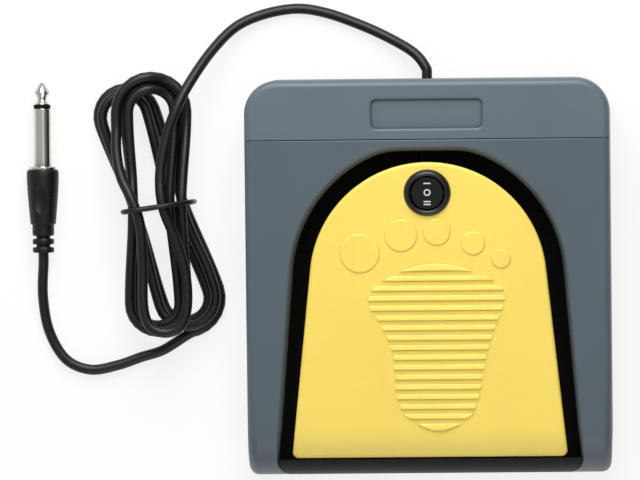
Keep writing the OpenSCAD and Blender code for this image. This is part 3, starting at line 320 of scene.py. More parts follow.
def finish(name, screen, rough, drift=0.08, grain=0.3, bump=0.05, patch=30, metal=0.0, specular=0.5,
           stretch=(1, 1, 1), shade_reach=6.0, glow_through=0.0):
    """A procedural finish. Grain, patch and the painted shade's reach are sizes in millimetres. Painted shade
    darkens the base colour in hollows of that size, and glow_through is the share of light that passes through the
    skin."""
    material = bpy.data.materials.new(name)
    made, links = nodes_of(material)
    shader = made["Principled BSDF"]
    colour = linear(*screen)
    place = made.new("ShaderNodeTexCoord")
    mapping = made.new("ShaderNodeMapping")
    set_inputs(mapping, Scale=stretch)
    links.new(place.outputs["Object"], mapping.inputs["Vector"])

    def noise(size, detail):
        texture = made.new("ShaderNodeTexNoise")
        set_inputs(texture, Scale=1 / (size * MM), Detail=detail)
        links.new(mapping.outputs["Vector"], texture.inputs["Vector"])
        return texture.outputs["Fac"]

    broad, fine = noise(patch, 4), noise(grain, 3)
    ramp = made.new("ShaderNodeValToRGB")
    for stop, position, change in zip(ramp.color_ramp.elements, (0.3, 0.7), (1 - drift, 1 + drift)):
        stop.position = position
        stop.color = (*(min(1, c * change) for c in colour), 1)
    links.new(broad, ramp.inputs["Fac"])
    # Painted shade: the ambient occlusion node darkens the base colour where hollows and creases would be in shade.
    shade = made.new("ShaderNodeAmbientOcclusion")
    set_inputs(shade, Distance=shade_reach * MM)
    links.new(ramp.outputs["Color"], shade.inputs["Color"])
    links.new(shade.outputs["Color"], shader.inputs["Base Color"])

    both = worked(made, links, "ADD", broad, fine)
    spread = made.new("ShaderNodeMapRange")
    set_inputs(spread, From_Min=0.6, From_Max=1.4, To_Min=rough - ROUGH_DRIFT, To_Max=rough + ROUGH_DRIFT)
    links.new(both.outputs[0], spread.inputs["Value"])
    links.new(spread.outputs["Result"], shader.inputs["Roughness"])

    relief = made.new("ShaderNodeBump")
    set_inputs(relief, Strength=bump, Distance=0.1 * MM)
    links.new(fine, relief.inputs["Height"])
    links.new(relief.outputs["Normal"], shader.inputs["Normal"])
    shader.subsurface_method = "BURLEY"
    set_inputs(shader, Metallic=metal, Specular_IOR_Level=specular, Subsurface_Weight=glow_through,
               Subsurface_Radius=(1.0, 0.7, 0.2), Subsurface_Scale=1.0 * MM)
    return material


# Each finish paints shade into its hollows; on the cover it reaches 4 mm, which darkens the recess.
LOOKS = {
    "shell_grey": finish("grey shell plastic", (79, 90, 98), 0.42, drift=0.03, shade_reach=0.3, bump=0.1),
    # The cover's grey is the shell's grey painted a little lighter, for the stronger light on its level top.
    "cover_grey": finish("grey cover plastic painted lighter", (83, 96, 104), 0.42, drift=0.03, shade_reach=4.0, bump=0.1),
    "plate_yellow": finish("yellow plate plastic", (244, 216, 99), 0.36, drift=0.02, grain=0.4, bump=0.06, patch=45,
                           shade_reach=0.3, glow_through=0.5),
    "base_black": finish("black base plastic", (9, 8, 7), 0.45, drift=0.12, bump=0.1, specular=0.12),
    "switch_black": finish("black switch plastic", (9, 9, 11), 0.36, grain=0.25),
    "button_black": finish("black button plastic", (5, 5, 6), 0.5, grain=0.25, specular=0.3),
    "cord_black": finish("black cable vinyl", (9, 9, 11), 0.42, drift=0.1, grain=0.5, bump=0.06, patch=18,
                         specular=0.4),
    "grip_black": finish("black grip vinyl", (7, 7, 9), 0.45, bump=0.08, patch=12, specular=0.35),
    "soft_rubber": finish("black rubber", (34, 33, 33), 0.75, drift=0.12, grain=0.5, bump=0.25, patch=8),
    "steel": finish("bright steel", (190, 190, 194), 0.3, drift=0.06, grain=0.2, bump=0.03, patch=6, metal=1.0),
    "nickel": finish("polished nickel", (214, 210, 206), 0.16, drift=0.04, grain=0.25, bump=0.02, patch=10,
                     metal=1.0, stretch=(6, 0.6, 6)),
    "contact_brass": finish("tinned contact", (205, 196, 172), 0.32, drift=0.06, grain=0.2, bump=0.03, patch=5,
                            metal=1.0),
    "wire_red": finish("red wire vinyl", (150, 40, 36), 0.45, grain=0.4, patch=10),
    "plunger_red": finish("red plunger plastic", (190, 44, 36), 0.35, drift=0.06, bump=0.04, patch=5),
    "mark_white": finish("white print", (206, 209, 211), 0.55, drift=0.03, grain=0.2, bump=0.03, patch=3),
}
print("finishes:", len(LOOKS))


def dress(piece, look):
    """Give a piece its only finish."""
    piece.data.materials.clear()
    piece.data.materials.append(LOOKS[look])


def hung(piece, look, body, *stands_for):
    """Dress a piece and hang it on its body. A piece that bends between two bodies names none here."""
    dress(piece, look)
    if body:
        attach(piece, body)
    if stands_for:
        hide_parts(*stands_for)
    return piece


# %% Finishes for the CAD nodes
NODE_LOOKS = {
    "base_black": "base_tray cable_clamp plug_insulator", "shell_grey": "top_shell", "cover_grey": "rear_cover",
    "plate_yellow": "pedal_plate", "soft_rubber": "stop_pads rubber_feet",
    "steel": "hinge_pin return_springs switch_lever switch_screws clamp_screws case_screws",
    "switch_black": "rocker_housing rocker_button switch_body", "wire_red": "rocker_wires",
    "contact_brass": "rocker_terminals switch_terminals", "plunger_red": "switch_plunger",
    "cord_black": "switch_wire cord_lead cord_hank cord_tail cord_tie",
    "nickel": "plug_tip plug_sleeve plug_collar", "grip_black": "plug_grip",
}
for look, names in NODE_LOOKS.items():
    for name in names.split():
        dress(nodes[name], look)
hung(cord, "cord_black", "root", "cord_lead", "cord_hank", "cord_tail")
print("finishes on the CAD nodes:", len(NODE_LOOKS))

# %% [markdown]
# ## Tools of the bench
# A moulded shell is a thin skin with a few radii. A grid primitive whose rows are laid along drawn
# section lines gives that skin clean quads, so its highlights run smoothly. A Mirror modifier makes the
# other half and Solidify gives the wall. Turned parts are a profile that the spin operator turns.


# %% Small helpers for edit mode and modifiers
CREASE, WALL_T, SEW_REACH = math.radians(35), 1.7, 0.002


def only(piece):
    """Select one piece and make it active."""
    bpy.ops.object.select_all(action="DESELECT")
    piece.select_set(True)
    bpy.context.view_layer.objects.active = piece


def apply_modifier(piece, kind, **settings):
    """Add a modifier, set it and apply it."""
    only(piece)
    step = piece.modifiers.new(kind.lower(), kind)
    for key, value in settings.items():
        setattr(step, key, value)
    bpy.ops.object.modifier_apply(modifier=step.name)
    return piece


@contextmanager
def editing(piece, action="SELECT"):
    """Edit mode on one piece. It begins with all selected, with nothing, or with what was picked before."""
    only(piece)
    bpy.ops.object.mode_set(mode="EDIT")
    if action:
        bpy.ops.mesh.select_all(action=action)
    yield
    bpy.ops.object.mode_set(mode="OBJECT")


def sew(piece):
    """Merge points that lie together and turn every face outwards."""
    with editing(piece):
        bpy.ops.mesh.remove_doubles(threshold=SEW_REACH * MM)
        bpy.ops.mesh.normals_make_consistent(inside=False)
    return piece


def join(name, pieces):
    """Join several meshes into one piece."""
    bpy.ops.object.select_all(action="DESELECT")
    for piece in pieces:
        piece.select_set(True)
    bpy.context.view_layer.objects.active = pieces[0]
    bpy.ops.object.join()
    pieces[0].name = name
    return pieces[0]


def sheet(name, rows):
    """A grid primitive laid along rows of points, given in millimetres."""
    across, along = len(rows[0]) - 1, len(rows) - 1
    skin = added(bpy.ops.mesh.primitive_grid_add, x_subdivisions=across, y_subdivisions=along, size=1.0)
    skin.name = name
    for point in skin.data.vertices:
        column = round((point.co.x + 0.5) * across)
        row = round((point.co.y + 0.5) * along)
        point.co = Vector(rows[row][column]) * MM
    return skin


def pick(piece, kind, test):
    """Select the edges or faces of a piece that pass a test."""
    with editing(piece, "DESELECT"):
        bpy.ops.mesh.select_mode(type=kind)
    picked = [part for part in (piece.data.edges if kind == "EDGE" else piece.data.polygons) if test(part)]
    for part in picked:
        part.select = True
    return len(picked)


def moulded(name, *grids):
    """Join the grids of one half, mirror them and give the skin its wall."""
    skin = sew(join(name, grids))
    apply_modifier(skin, "MIRROR", use_axis=(True, False, False), merge_threshold=0.01 * MM)
    return apply_modifier(sew(skin), "SOLIDIFY", thickness=WALL_T * MM, offset=-1.0)


def cut(piece, tool):
    """Cut the form of a tool out of a piece."""
    apply_modifier(piece, "BOOLEAN", object=tool, operation="DIFFERENCE", solver="EXACT")
    bpy.data.objects.remove(tool)


def own_copy(piece):
    """A copy with a mesh of its own."""
    twin = piece.copy()
    twin.data = piece.data.copy()
    bpy.context.scene.collection.objects.link(twin)
    return twin


def finished(piece, look, body, *stands_for, weigh=False):
    """Smooth shading with sharp creases kept, then the finish and the body.

    Weigh lets large faces set the shading, as on a moulded skin."""
    only(piece)
    bpy.ops.object.shade_smooth_by_angle(angle=CREASE)
    if weigh:
        apply_modifier(piece, "WEIGHTED_NORMAL", keep_sharp=True)
    return hung(piece, look, body, *stands_for)


# %% Directions and arcs seen from above
def ray_at(angle):
    return Vector((math.cos(angle), math.sin(angle)))


def quarter(steps, first=1):
    """Even angles up to a quarter turn."""
    return [math.pi / 2 * k / steps for k in range(first, steps + 1)]


def full_turn(steps):
    """Even angles round a circle, back to the start."""
    return [2 * math.pi * k / steps for k in range(steps + 1)]


def arc(centre, radius, first, last, steps):
    """Points of an arc, each with the direction outwards."""
    rays = [ray_at(first + (last - first) * k / steps) for k in range(steps + 1)]
    return [(centre + radius * ray, ray) for ray in rays]


# %% [markdown]
# ## Front shell
# The shell is one grey moulding: a sloping top that rolls over a round nose on each side, with an arch cut
# out for the foot plate. Each row of the grid is one section: up the wall of the arch, over its rounded
# rim, across the flat top, over the outer edge and down the side. Rows fan out round the arch
# and then march down the leg to the nose.

# %% Sizes that the housing pieces share
BODY_W, FRONT_Y, SEAM_Y, BODY_H, BASE_Z = 134.0, -72.5, 49.8, 38.0, 2.0
SEAM_GAP = 0.1
NOSE_Y, NOSE_Z, NOSE_R, NOSE_END = -52.5, 3.468, 20.0, math.radians(184.2)
SHELL_SLOPE, PLATE_SLOPE = math.radians(8.0), math.radians(9.2)
NOSE_TURN = NOSE_R * (NOSE_END - math.pi / 2 - SHELL_SLOPE)
DRAFT = math.tan(math.radians(1.5))
ARCH_R, ARCH_FLAT, ARCH_EASE, ARCH_Y = 50.0, 2.2, 25.0, -1.5
ARCH_SPREAD = math.radians(4.76)
RIM_R, TOP_EDGE_R, FRONT_EDGE_R = 1.1, 2.5, 3.4
UP = Vector((0, 0, 1))


def slope_z(y, slope):
    """Height of a sloping top that runs into the nose."""
    return NOSE_Z + NOSE_R / math.cos(slope) + (y - NOSE_Y) * math.tan(slope)


def profile(run, slope):
    """A point of the side profile and its outward direction. Run is zero where the nose begins."""
    turn = math.pi / 2 + slope + max(run, 0) / NOSE_R
    out = Vector((0, math.cos(turn), math.sin(turn)))
    back = -min(run, 0) * Vector((0, math.cos(slope), math.sin(slope)))
    return Vector((0, NOSE_Y, NOSE_Z)) + NOSE_R * out + back, out


def arch_edge(turn):
    """A point of the arch's edge, seen from above, and the direction away from the opening."""
    ray = Vector((math.sin(turn), math.cos(turn)))
    drop = ARCH_R - ARCH_FLAT
    centre = Vector((math.sqrt((ARCH_R - ARCH_EASE) ** 2 - (drop - ARCH_EASE) ** 2), drop - ARCH_EASE))
    if ray.x * drop < centre.x * ray.y:
        at, away = ray * (drop / ray.y), Vector((0, 1))
    elif turn < math.atan2(centre.x, centre.y):
        reach = ray.dot(centre)
        at = ray * (reach + math.sqrt(reach ** 2 - centre.length_squared + ARCH_EASE ** 2))
        away = (at - centre) / ARCH_EASE
    elif turn < math.pi / 2 - ARCH_SPREAD:
        at, away = ray * ARCH_R, ray
    else:
        at, away = ray * (ARCH_R / math.sin(turn + ARCH_SPREAD)), ray_at(ARCH_SPREAD)
    return at + Vector((0, ARCH_Y)), away


# %% Rows of the front shell's grid
RIM_STEPS, EDGE_STEPS, RIM_WALL, RIM_LEAN, RIM_LAND = 12, 6, 6.0, 0.7, 0.9
FLAT_SHARES, SIDE_SHARES = (0.04, 0.25, 0.5, 0.75, 0.96), (0.06, 0.5, 1.0)
END_Y, TINY = SEAM_Y - SEAM_GAP, 1e-6
SEAM_EASE, SEAM_STEPS, EASE_OUT = 0.5, 4, math.radians(8)
NOSE_BLEND, NOSE_FOOT, NOSE_TUCK, RIM_LOSS = 22.0, 12.5, 0.3, 0.85
nose_start = profile(0, SHELL_SLOPE)[0]


def side_x(z):
    return BODY_W / 2 - (z - BASE_Z) * DRAFT


def on_slope(p):
    """Lift a plan point onto the shell's slope."""
    return Vector((p.x, p.y, slope_z(p.y, SHELL_SLOPE)))


FLAT_X = side_x(slope_z(END_Y, SHELL_SLOPE)) - TOP_EDGE_R
corner_turn = math.atan2(FLAT_X, END_Y - ARCH_Y)


def rim_line(at, away, lift, down, across):
    """Up the arch's wall and over its rim in one curve. Lift gives a height from a plan point."""
    share = across / RIM_R
    line = []
    for b in reversed(quarter(RIM_STEPS, 0)):
        out = (across + RIM_LEAN * share) * (1 - math.sin(b)) - RIM_LEAN * share
        line.append(lift(at + out * away) - RIM_WALL * share * (1 - math.cos(b)) * down)
    return line


def rounded_over(end, radius, out, down):
    """Points of a rounded edge, from the top over to the side."""
    return [end + radius * math.sin(b) * out - radius * (1 - math.cos(b)) * down for b in quarter(EDGE_STEPS)]


def shell_row(turn):
    """One section through the fan round the arch."""
    at, away = arch_edge(turn)
    across = min(RIM_R, (END_Y - RIM_LAND - at.y) / max(away.y, TINY))
    line = rim_line(at, away, on_slope, UP, across)
    reach = min((END_Y - ARCH_Y) / max(math.cos(turn), TINY), FLAT_X / max(math.sin(turn), TINY))
    ray, middle = Vector((math.sin(turn), math.cos(turn))), Vector((0, ARCH_Y))
    ease = SEAM_EASE * eased((corner_turn - turn) / EASE_OUT)
    end = on_slope(ray * (reach - ease / max(ray.y, TINY)) + middle)
    line += [line[-1].lerp(end, share) for share in FLAT_SHARES] + [end]
    if turn > corner_turn:
        return line
    for b in quarter(SEAM_STEPS):
        over = on_slope(ray * (reach - ease * (1 - math.sin(b)) / ray.y) + middle)
        line.append(over - ease * (1 - math.cos(b)) * UP)
    return line


def square_on(run):
    """How far a section has turned from upright to square on the nose, and the direction it faces."""
    share = eased((run + NOSE_BLEND) / NOSE_BLEND)
    return share, UP.lerp(profile(max(run, 0), SHELL_SLOPE)[1], share).normalized()


def with_side(line, run):
    """Add the outer edge and the side wall to a section."""
    end = line[-1]
    share, down = square_on(run)
    edge_r = TOP_EDGE_R + (FRONT_EDGE_R - TOP_EDGE_R) * share
    turned_in = max(run / NOSE_TURN, 0)
    wall_x = side_x(end.z) if run < 0 else side_x(nose_start.z) - NOSE_TUCK * turned_in ** 3
    end = Vector((wall_x - edge_r, end.y, end.z))
    line = line[:-1] + [end] + rounded_over(end, edge_r, Vector((1, 0, 0)), down)
    last = line[-1]
    foot_y = last.y if run < 0 else nose_start.y - NOSE_FOOT * run / NOSE_TURN
    foot = Vector((BODY_W / 2 + (wall_x - BODY_W / 2) * eased(turned_in), foot_y, BASE_Z))
    return line + [last.lerp(foot, s) for s in SIDE_SHARES]


TOE_R, TOE_TURN = 5.0, math.radians(-70)
toe = Vector((0, FRONT_Y + TOE_R))
toe.x = (ARCH_R - TOE_R) / math.cos(ARCH_SPREAD) + (ARCH_Y - toe.y) * math.tan(ARCH_SPREAD)


def leg_edge(y):
    """Where the arch's edge lies on a leg: a straight line that turns round the toe."""
    turn = math.asin(min(max((y - toe.y) / TOE_R, -1), 1))
    if turn > ARCH_SPREAD:
        return ARCH_R / math.cos(ARCH_SPREAD) + (ARCH_Y - y) * math.tan(ARCH_SPREAD)
    return toe.x + TOE_R * math.cos(max(turn, TOE_TURN))


def leg_row(run):
    """One section across a leg, square to the slope and then to the nose."""
    top = profile(run, SHELL_SLOPE)[0]
    narrow = 1 - RIM_LOSS * eased(run / NOSE_TURN)

    def lift(p):
        return Vector((p.x, top.y, top.z))

    rim = rim_line(Vector((leg_edge(top.y), top.y)), Vector((1, 0)), lift, square_on(run)[1], RIM_R * narrow)
    side = with_side([Vector((side_x(top.z) - TOP_EDGE_R, top.y, top.z))], run)
    return rim + [rim[-1].lerp(side[0], s) for s in FLAT_SHARES] + side


FAN_ROWS, SIDE_ROWS, LEG_ROWS, NOSE_ROWS = 18, 14, 10, 18
fan_rows = [shell_row(corner_turn * k / FAN_ROWS) for k in range(FAN_ROWS + 1)]
side_turns = [corner_turn + (math.pi / 2 - corner_turn) * k / SIDE_ROWS for k in range(SIDE_ROWS)]
unseamed = len(shell_row(math.pi / 2))
leg_start = -(ARCH_Y - nose_start.y) / math.cos(SHELL_SLOPE)
leg_runs = [leg_start * (1 - k / LEG_ROWS) for k in range(LEG_ROWS)]
leg_runs += [NOSE_TURN * k / NOSE_ROWS for k in range(NOSE_ROWS + 1)]
side_rows = [with_side(shell_row(turn)[:unseamed], -NOSE_BLEND) for turn in side_turns]
side_rows += [leg_row(run) for run in leg_runs]
print("rows of the shell:", len(fan_rows), "and", len(side_rows))

# %% Front shell: join the two grids, mirror and thicken
front_shell = moulded("front_shell", sheet("fan", fan_rows), sheet("side", side_rows))
finished(front_shell, "shell_grey", "root", "top_shell", weigh=True)
print("front shell faces:", len(front_shell.data.polygons))

# %% [markdown]
# ## Rear cover
# The cover is a second moulding with a level top, large round corners and a shallow bare recess. A cube with
# bevelled edges would come close, but the draft of the walls and the recess need care. The same grid as for the
# shell is used: each row runs from the middle of the recess up its edge, over the top and down the wall.

# %% Rows of the rear cover's grid
REAR_CORNER_R, COVER_LEAN = 13.0, (BODY_H - BASE_Z) * DRAFT
RECESS_W, RECESS_D, RECESS_Y, RECESS_R, RECESS_T = 42.0, 12.4, 59.0, 2.8, 1.2
RECESS_EDGE, RECESS_ROUND, RECESS_TAPER = 1.0, 0.72, 0.1
COVER_Y = SEAM_Y + SEAM_GAP
REAR_STEPS, CORNER_STEPS, FLANK_STEPS, FRONT_STEPS, RECESS_STEPS = 8, 12, 4, 6, 5
COVER_SHARES, WALL_SHARES, FLOOR_SHARE = (0.05, 0.3, 0.7, 0.95), (0.05, 0.5, 1.0), 0.92


def outline(corner, bend, side_y):
    """Rear, corner and side of a rounded form, each point with the direction outwards."""
    rear, side = corner.y + bend, corner.x + bend
    line = [(Vector((corner.x * k / REAR_STEPS, rear)), Vector((0, 1))) for k in range(REAR_STEPS)]
    line += arc(corner, bend, math.pi / 2, 0, CORNER_STEPS)
    return line + [(Vector((side, corner.y + (side_y - corner.y) * k / FLANK_STEPS)), Vector((1, 0)))
                   for k in range(1, FLANK_STEPS + 1)]


def cover_outline():
    """The top's outer line, from the middle of the rear to the seam."""
    corner = Vector((BODY_W / 2 - REAR_CORNER_R, REAR_Y - REAR_CORNER_R))
    return outline(corner, REAR_CORNER_R - COVER_LEAN - TOP_EDGE_R, COVER_Y)


def recess_outline():
    """Points of the recess's edge that answer the outer line's, then those that answer the seam."""
    half_w, half_d = RECESS_W / 2 - RECESS_R, RECESS_D / 2 - RECESS_R
    line = outline(Vector((half_w, RECESS_Y + half_d)), RECESS_R, RECESS_Y - half_d)
    line += arc(Vector((half_w, RECESS_Y - half_d)), RECESS_R, 0, -math.pi / 2, FRONT_STEPS)[1:]
    return line + [(Vector((half_w * (1 - k / REAR_STEPS), RECESS_Y - RECESS_D / 2)), Vector((0, -1)))
                   for k in range(1, REAR_STEPS + 1)]


def recess_line(at, out):
    """From the recess's middle line to its floor, up its wall and over its edge."""
    middle = Vector((min(max(at.x, 0), RECESS_W / 2 - RECESS_D / 2), RECESS_Y))
    low, top = BODY_H - RECESS_T, BODY_H
    wall = at - RECESS_EDGE * out
    foot = wall - RECESS_TAPER * out
    line = [(*middle, low), (*middle.lerp(foot, FLOOR_SHARE), low), (*foot, low), (*wall, top - RECESS_ROUND)]
    for b in quarter(RECESS_STEPS):
        line.append((*(wall + RECESS_EDGE * (1 - math.cos(b)) * out), top - RECESS_ROUND * (1 - math.sin(b))))
    return [Vector(p) for p in line]


def cover_row(inner, outer):
    """One section of the top, from the recess to a point of the outer line."""
    line = recess_line(*inner)
    end = Vector((*outer, BODY_H))
    return line + [line[-1].lerp(end, s) for s in COVER_SHARES] + [end]


def with_wall(line, out):
    """Add the rounded edge and the wall down to the base."""
    end, out = line[-1], Vector((*out, 0))
    line += rounded_over(end, TOP_EDGE_R, out, UP)
    foot = end + (TOP_EDGE_R + COVER_LEAN) * out
    foot.z = BASE_Z
    last = line[-1]
    return line + [last.lerp(foot, s) for s in WALL_SHARES]


outer_line, inner_line = cover_outline(), recess_outline()
walled = [with_wall(cover_row(inner, outer[0]), outer[1]) for inner, outer in zip(inner_line, outer_line)]
seam_start = outer_line[-1][0]
seam_inner = inner_line[len(outer_line) - 1:]
seam_line = [Vector((seam_start.x * (1 - k / (len(seam_inner) - 1)), COVER_Y)) for k in range(len(seam_inner))]
seam_rows = [cover_row(inner, outer) for inner, outer in zip(seam_inner, seam_line)]
print("rows of the cover:", len(walled), "and", len(seam_rows))

# %% Rear cover: join, mirror, thicken, ease the seam edge, add the tongue and cut the cord's way out
SEAM_BEVEL, SEAM_BAND, SEAM_REACH = 0.12, 0.5, 0.01
rear_cover = moulded("rear_cover_moulding", sheet("walled", walled), sheet("seamed", seam_rows))


def on_seam(edge):
    """Whether an edge lies along the top of the seam."""
    ends = [rear_cover.data.vertices[k].co / MM for k in edge.vertices]
    return all(abs(end.y - COVER_Y) < SEAM_REACH and end.z > BODY_H - SEAM_BAND for end in ends)


seam_edges = pick(rear_cover, "EDGE", on_seam)
with editing(rear_cover, None):
    bpy.ops.mesh.bevel(offset=SEAM_BEVEL * MM, segments=2, affect="EDGES")
TONGUE_IN, TONGUE_L, TONGUE_T, TONGUE_STEPS = 0.6, 1.0, 0.5, 4
tongue_x, tongue_r = seam_start.x, TOP_EDGE_R - TONGUE_IN
half = [(tongue_x * k / TONGUE_STEPS, BODY_H - TONGUE_IN) for k in range(TONGUE_STEPS + 1)]
half += [(tongue_x + tongue_r * math.sin(b), BODY_H - TOP_EDGE_R + tongue_r * math.cos(b))
         for b in quarter(EDGE_STEPS)]
half += [(BODY_W / 2 - TONGUE_IN, BASE_Z + TONGUE_IN)]
section = [(-x, z) for x, z in reversed(half[1:])] + half
tongue = sheet("tongue", [[Vector((x, y, z)) for x, z in section] for y in (COVER_Y + TONGUE_L, END_Y - TONGUE_L)])
apply_modifier(tongue, "SOLIDIFY", thickness=TONGUE_T * MM, offset=0.0)
rear_cover = join("rear_cover_moulding", [rear_cover, tongue])
CORD_OUT_Z, CORD_HOLE_D, DRILL_L = 9.0, 4.2, 12.0
cut(rear_cover, added(bpy.ops.mesh.primitive_cylinder_add, vertices=48, radius=CORD_HOLE_D / 2 * MM,
                      depth=DRILL_L * MM, location=(0, REAR_Y * MM, CORD_OUT_Z * MM), rotation=(math.pi / 2, 0, 0)))
finished(rear_cover, "cover_grey", "root", "rear_cover", weigh=True)
print("rear cover faces:", len(rear_cover.data.polygons), "seam edges eased:", seam_edges)

# %% [markdown]
# ## Foot plate
# The yellow plate is a moulding with a soft edge, a bare foot in low relief and a round hole for the rocker.
# Its top is a filled outline, cut across where it bends over the nose. A ring of quads round it makes the
# rounded edge and the skirt. Toes and ribs are low pads set into the top. The hidden underside, with its
# knuckles, spring seats and hooks, is a copy of the CAD node with the old top taken off.

# %% The plate's outline and surface
PLATE_R, PLATE_FRONT_Y, PLATE_CORNER = 43.0, -66.1, 2.0
PLATE_SPREAD = math.radians(6.24)
PLATE_EDGE, PLATE_BAND, PLATE_EDGE_STEPS = 1.2, 0.6, 5
SKIRT_H, SKIRT_LOW_Z, SKIRT_SHARES = 9.0, 5.1, (0.2, 1.0)
ROCKER_Y, ROCKER_HOLE_R = 30.4, 7.5
PLATE_BEND_Y = NOSE_Y - NOSE_R * math.sin(PLATE_SLOPE)
SIDE_OUT = ray_at(PLATE_SPREAD)
CROWN_STEPS, TURN_STEPS, FLAT_STEPS = 43, 6, 8
PLATE_SHARES = (0.12, 0.25, 0.4, 0.55, 0.7, 0.82, 0.85, 0.88, 0.91, 0.94, 0.97)


def plate_z(y):
    """Height of the plate's top."""
    if y > PLATE_BEND_Y:
        return slope_z(y, PLATE_SLOPE)
    return NOSE_Z + math.sqrt(NOSE_R ** 2 - (y - NOSE_Y) ** 2)


def plate_half():
    """Right half of the outline from the crown to the front, with the direction outwards."""
    line = arc(Vector((0, ARCH_Y)), PLATE_R, math.pi / 2, PLATE_SPREAD, CROWN_STEPS)
    corner_y = PLATE_FRONT_Y + PLATE_CORNER
    corner = Vector(((PLATE_R - PLATE_CORNER) / math.cos(PLATE_SPREAD)
                     + (ARCH_Y - corner_y) * math.tan(PLATE_SPREAD), corner_y))
    start, end = line[-1][0], corner + PLATE_CORNER * SIDE_OUT
    line += [(start.lerp(end, s), SIDE_OUT) for s in PLATE_SHARES]
    line += arc(corner, PLATE_CORNER, PLATE_SPREAD, -math.pi / 2, TURN_STEPS)
    return line + [(Vector((corner.x * (1 - k / FLAT_STEPS), PLATE_FRONT_Y)), Vector((0, -1)))
                   for k in range(1, FLAT_STEPS + 1)]


right_half = plate_half()
left_half = [(Vector((-p.x, p.y)), Vector((-n.x, n.y))) for p, n in reversed(right_half[1:-1])]
plate_outline = right_half + left_half
print("points round the plate:", len(plate_outline))


def edge_row(at, out):
    """From the flat top over the plate's edge and down the skirt, with heights below the top."""
    row = [Vector((*(at - (PLATE_EDGE + PLATE_BAND) * out), 0))]
    for b in quarter(PLATE_EDGE_STEPS, 0):
        row.append(Vector((*(at - PLATE_EDGE * (1 - math.sin(b)) * out), -PLATE_EDGE * (1 - math.cos(b)))))
    low = max(-SKIRT_H, SKIRT_LOW_Z - plate_z(at.y))
    return row + [Vector((*at, low * s)) for s in SKIRT_SHARES]


# %% Top of the plate: fill between the outline and the rocker's hole, then cut across the bend
BEND_CUTS, BEND_FIRST, BEND_PITCH, ROUND_STEPS = 8, 0.6, 1.1, 48


def loop_of(name, points):
    """A circle primitive whose points are moved onto a closed line."""
    loop = added(bpy.ops.mesh.primitive_circle_add, vertices=len(points), radius=0.01)
    loop.name = name
    for vertex, point in zip(loop.data.vertices, points):
        vertex.co = (point.x * MM, point.y * MM, 0)
    return loop


inner_loop = [at - (PLATE_EDGE + PLATE_BAND) * out for at, out in plate_outline]
hole_loop = [Vector((ROCKER_HOLE_R * math.cos(a), ROCKER_Y + ROCKER_HOLE_R * math.sin(a) * math.cos(PLATE_SLOPE)))
             for a in full_turn(ROUND_STEPS)[:-1]]
plate_top = join("plate_top", [loop_of("outline", inner_loop), loop_of("hole", hole_loop)])
with editing(plate_top):
    bpy.ops.mesh.fill(use_beauty=True)
edge_rows = [edge_row(at, out) for at, out in plate_outline]
plate_top = sew(join("plate_top", [plate_top, sheet("plate_edge", edge_rows + edge_rows[:1])]))
for k in range(BEND_CUTS):
    with editing(plate_top):
        bpy.ops.mesh.bisect(plane_co=(0, (PLATE_BEND_Y + BEND_FIRST - BEND_PITCH * k) * MM, 0), plane_no=(0, 1, 0))
for vertex in plate_top.data.vertices:
    vertex.co.z += plate_z(max(vertex.co.y / MM, PLATE_FRONT_Y)) * MM
print("plate top faces:", len(plate_top.data.polygons))

# %% [markdown]
# ## Foot in relief
# Five round toes stand half a millimetre proud, and seventeen ribs rise a little more, as wedges with a lip,
# so that a foot finds the plate in the dark. A toe is a fan of quads from its middle to its soft border. The
# ribs' ends follow the edge of a sole, which is a list of widths.

# %% Toes and ribs
PAD_SUNK, TOE_H, TOE_EDGE, TOE_STEPS, TOE_FLAT = 0.3, 0.55, 1.0, 8, 0.8
TOES = [(-24.7, 8.7, 14.6), (-9.7, 15, 12), (3.3, 16.2, 10.2), (16.4, 12, 8.9), (26.5, 6.3, 7.3)]
SOLE = [
    (6, -6, 11), (2, -10, 15.9), (-0.5, -15, 22.5), (-4, -20.3, 27), (-8, -22, 28), (-11.5, -21.5, 27),
    (-15, -18.7, 25.5), (-22, -15, 22.8), (-29, -12.8, 20.8), (-36, -12.5, 19.5), (-43, -12.2, 18.2),
    (-50, -9.5, 16), (-53.6, -4.2, 11), (-58, 0, 6),
]
RIB_COUNT, RIB_FIRST, RIB_PITCH, RIB_W = 17, 4.0, 3.6, 2.0
RIB_SECTION = [(0, -PAD_SUNK), (0, 0.1), (0.1, 0.22), (0.35, 0.42), (1.5, 0.7), (1.75, 0.72), (1.92, 0.6),
               (RIB_W, -PAD_SUNK)]
RIB_STEPS, RIB_CAP, RIB_THIN = 16, 2.8, 0.05


def sole_edges(y):
    """Left and right edge of the sole at a place along it."""
    for (y0, left0, right0), (y1, left1, right1) in zip(SOLE, SOLE[1:]):
        if y >= y1:
            s = (y0 - y) / (y0 - y1)
            return left0 + (left1 - left0) * s, right0 + (right1 - right0) * s
    return SOLE[-1][1:]


def toe_pad(x, y, across):
    """A low round pad with a soft edge."""
    lines = [(0, TOE_H), (TOE_FLAT * (across / 2 - TOE_EDGE), TOE_H)]
    lines += [(across / 2 - TOE_EDGE * (1 - k / TOE_STEPS), TOE_H * (1 - (k / TOE_STEPS) ** 3))
              for k in range(TOE_STEPS + 1)] + [(across / 2, -PAD_SUNK)]
    rows = []
    for out in map(ray_at, full_turn(ROUND_STEPS)):
        plan = [(Vector((x, y)) + r * out, h) for r, h in lines]
        rows.append([Vector((p.x, p.y, plate_z(p.y) + h)) for p, h in plan])
    return sheet("toe", rows)


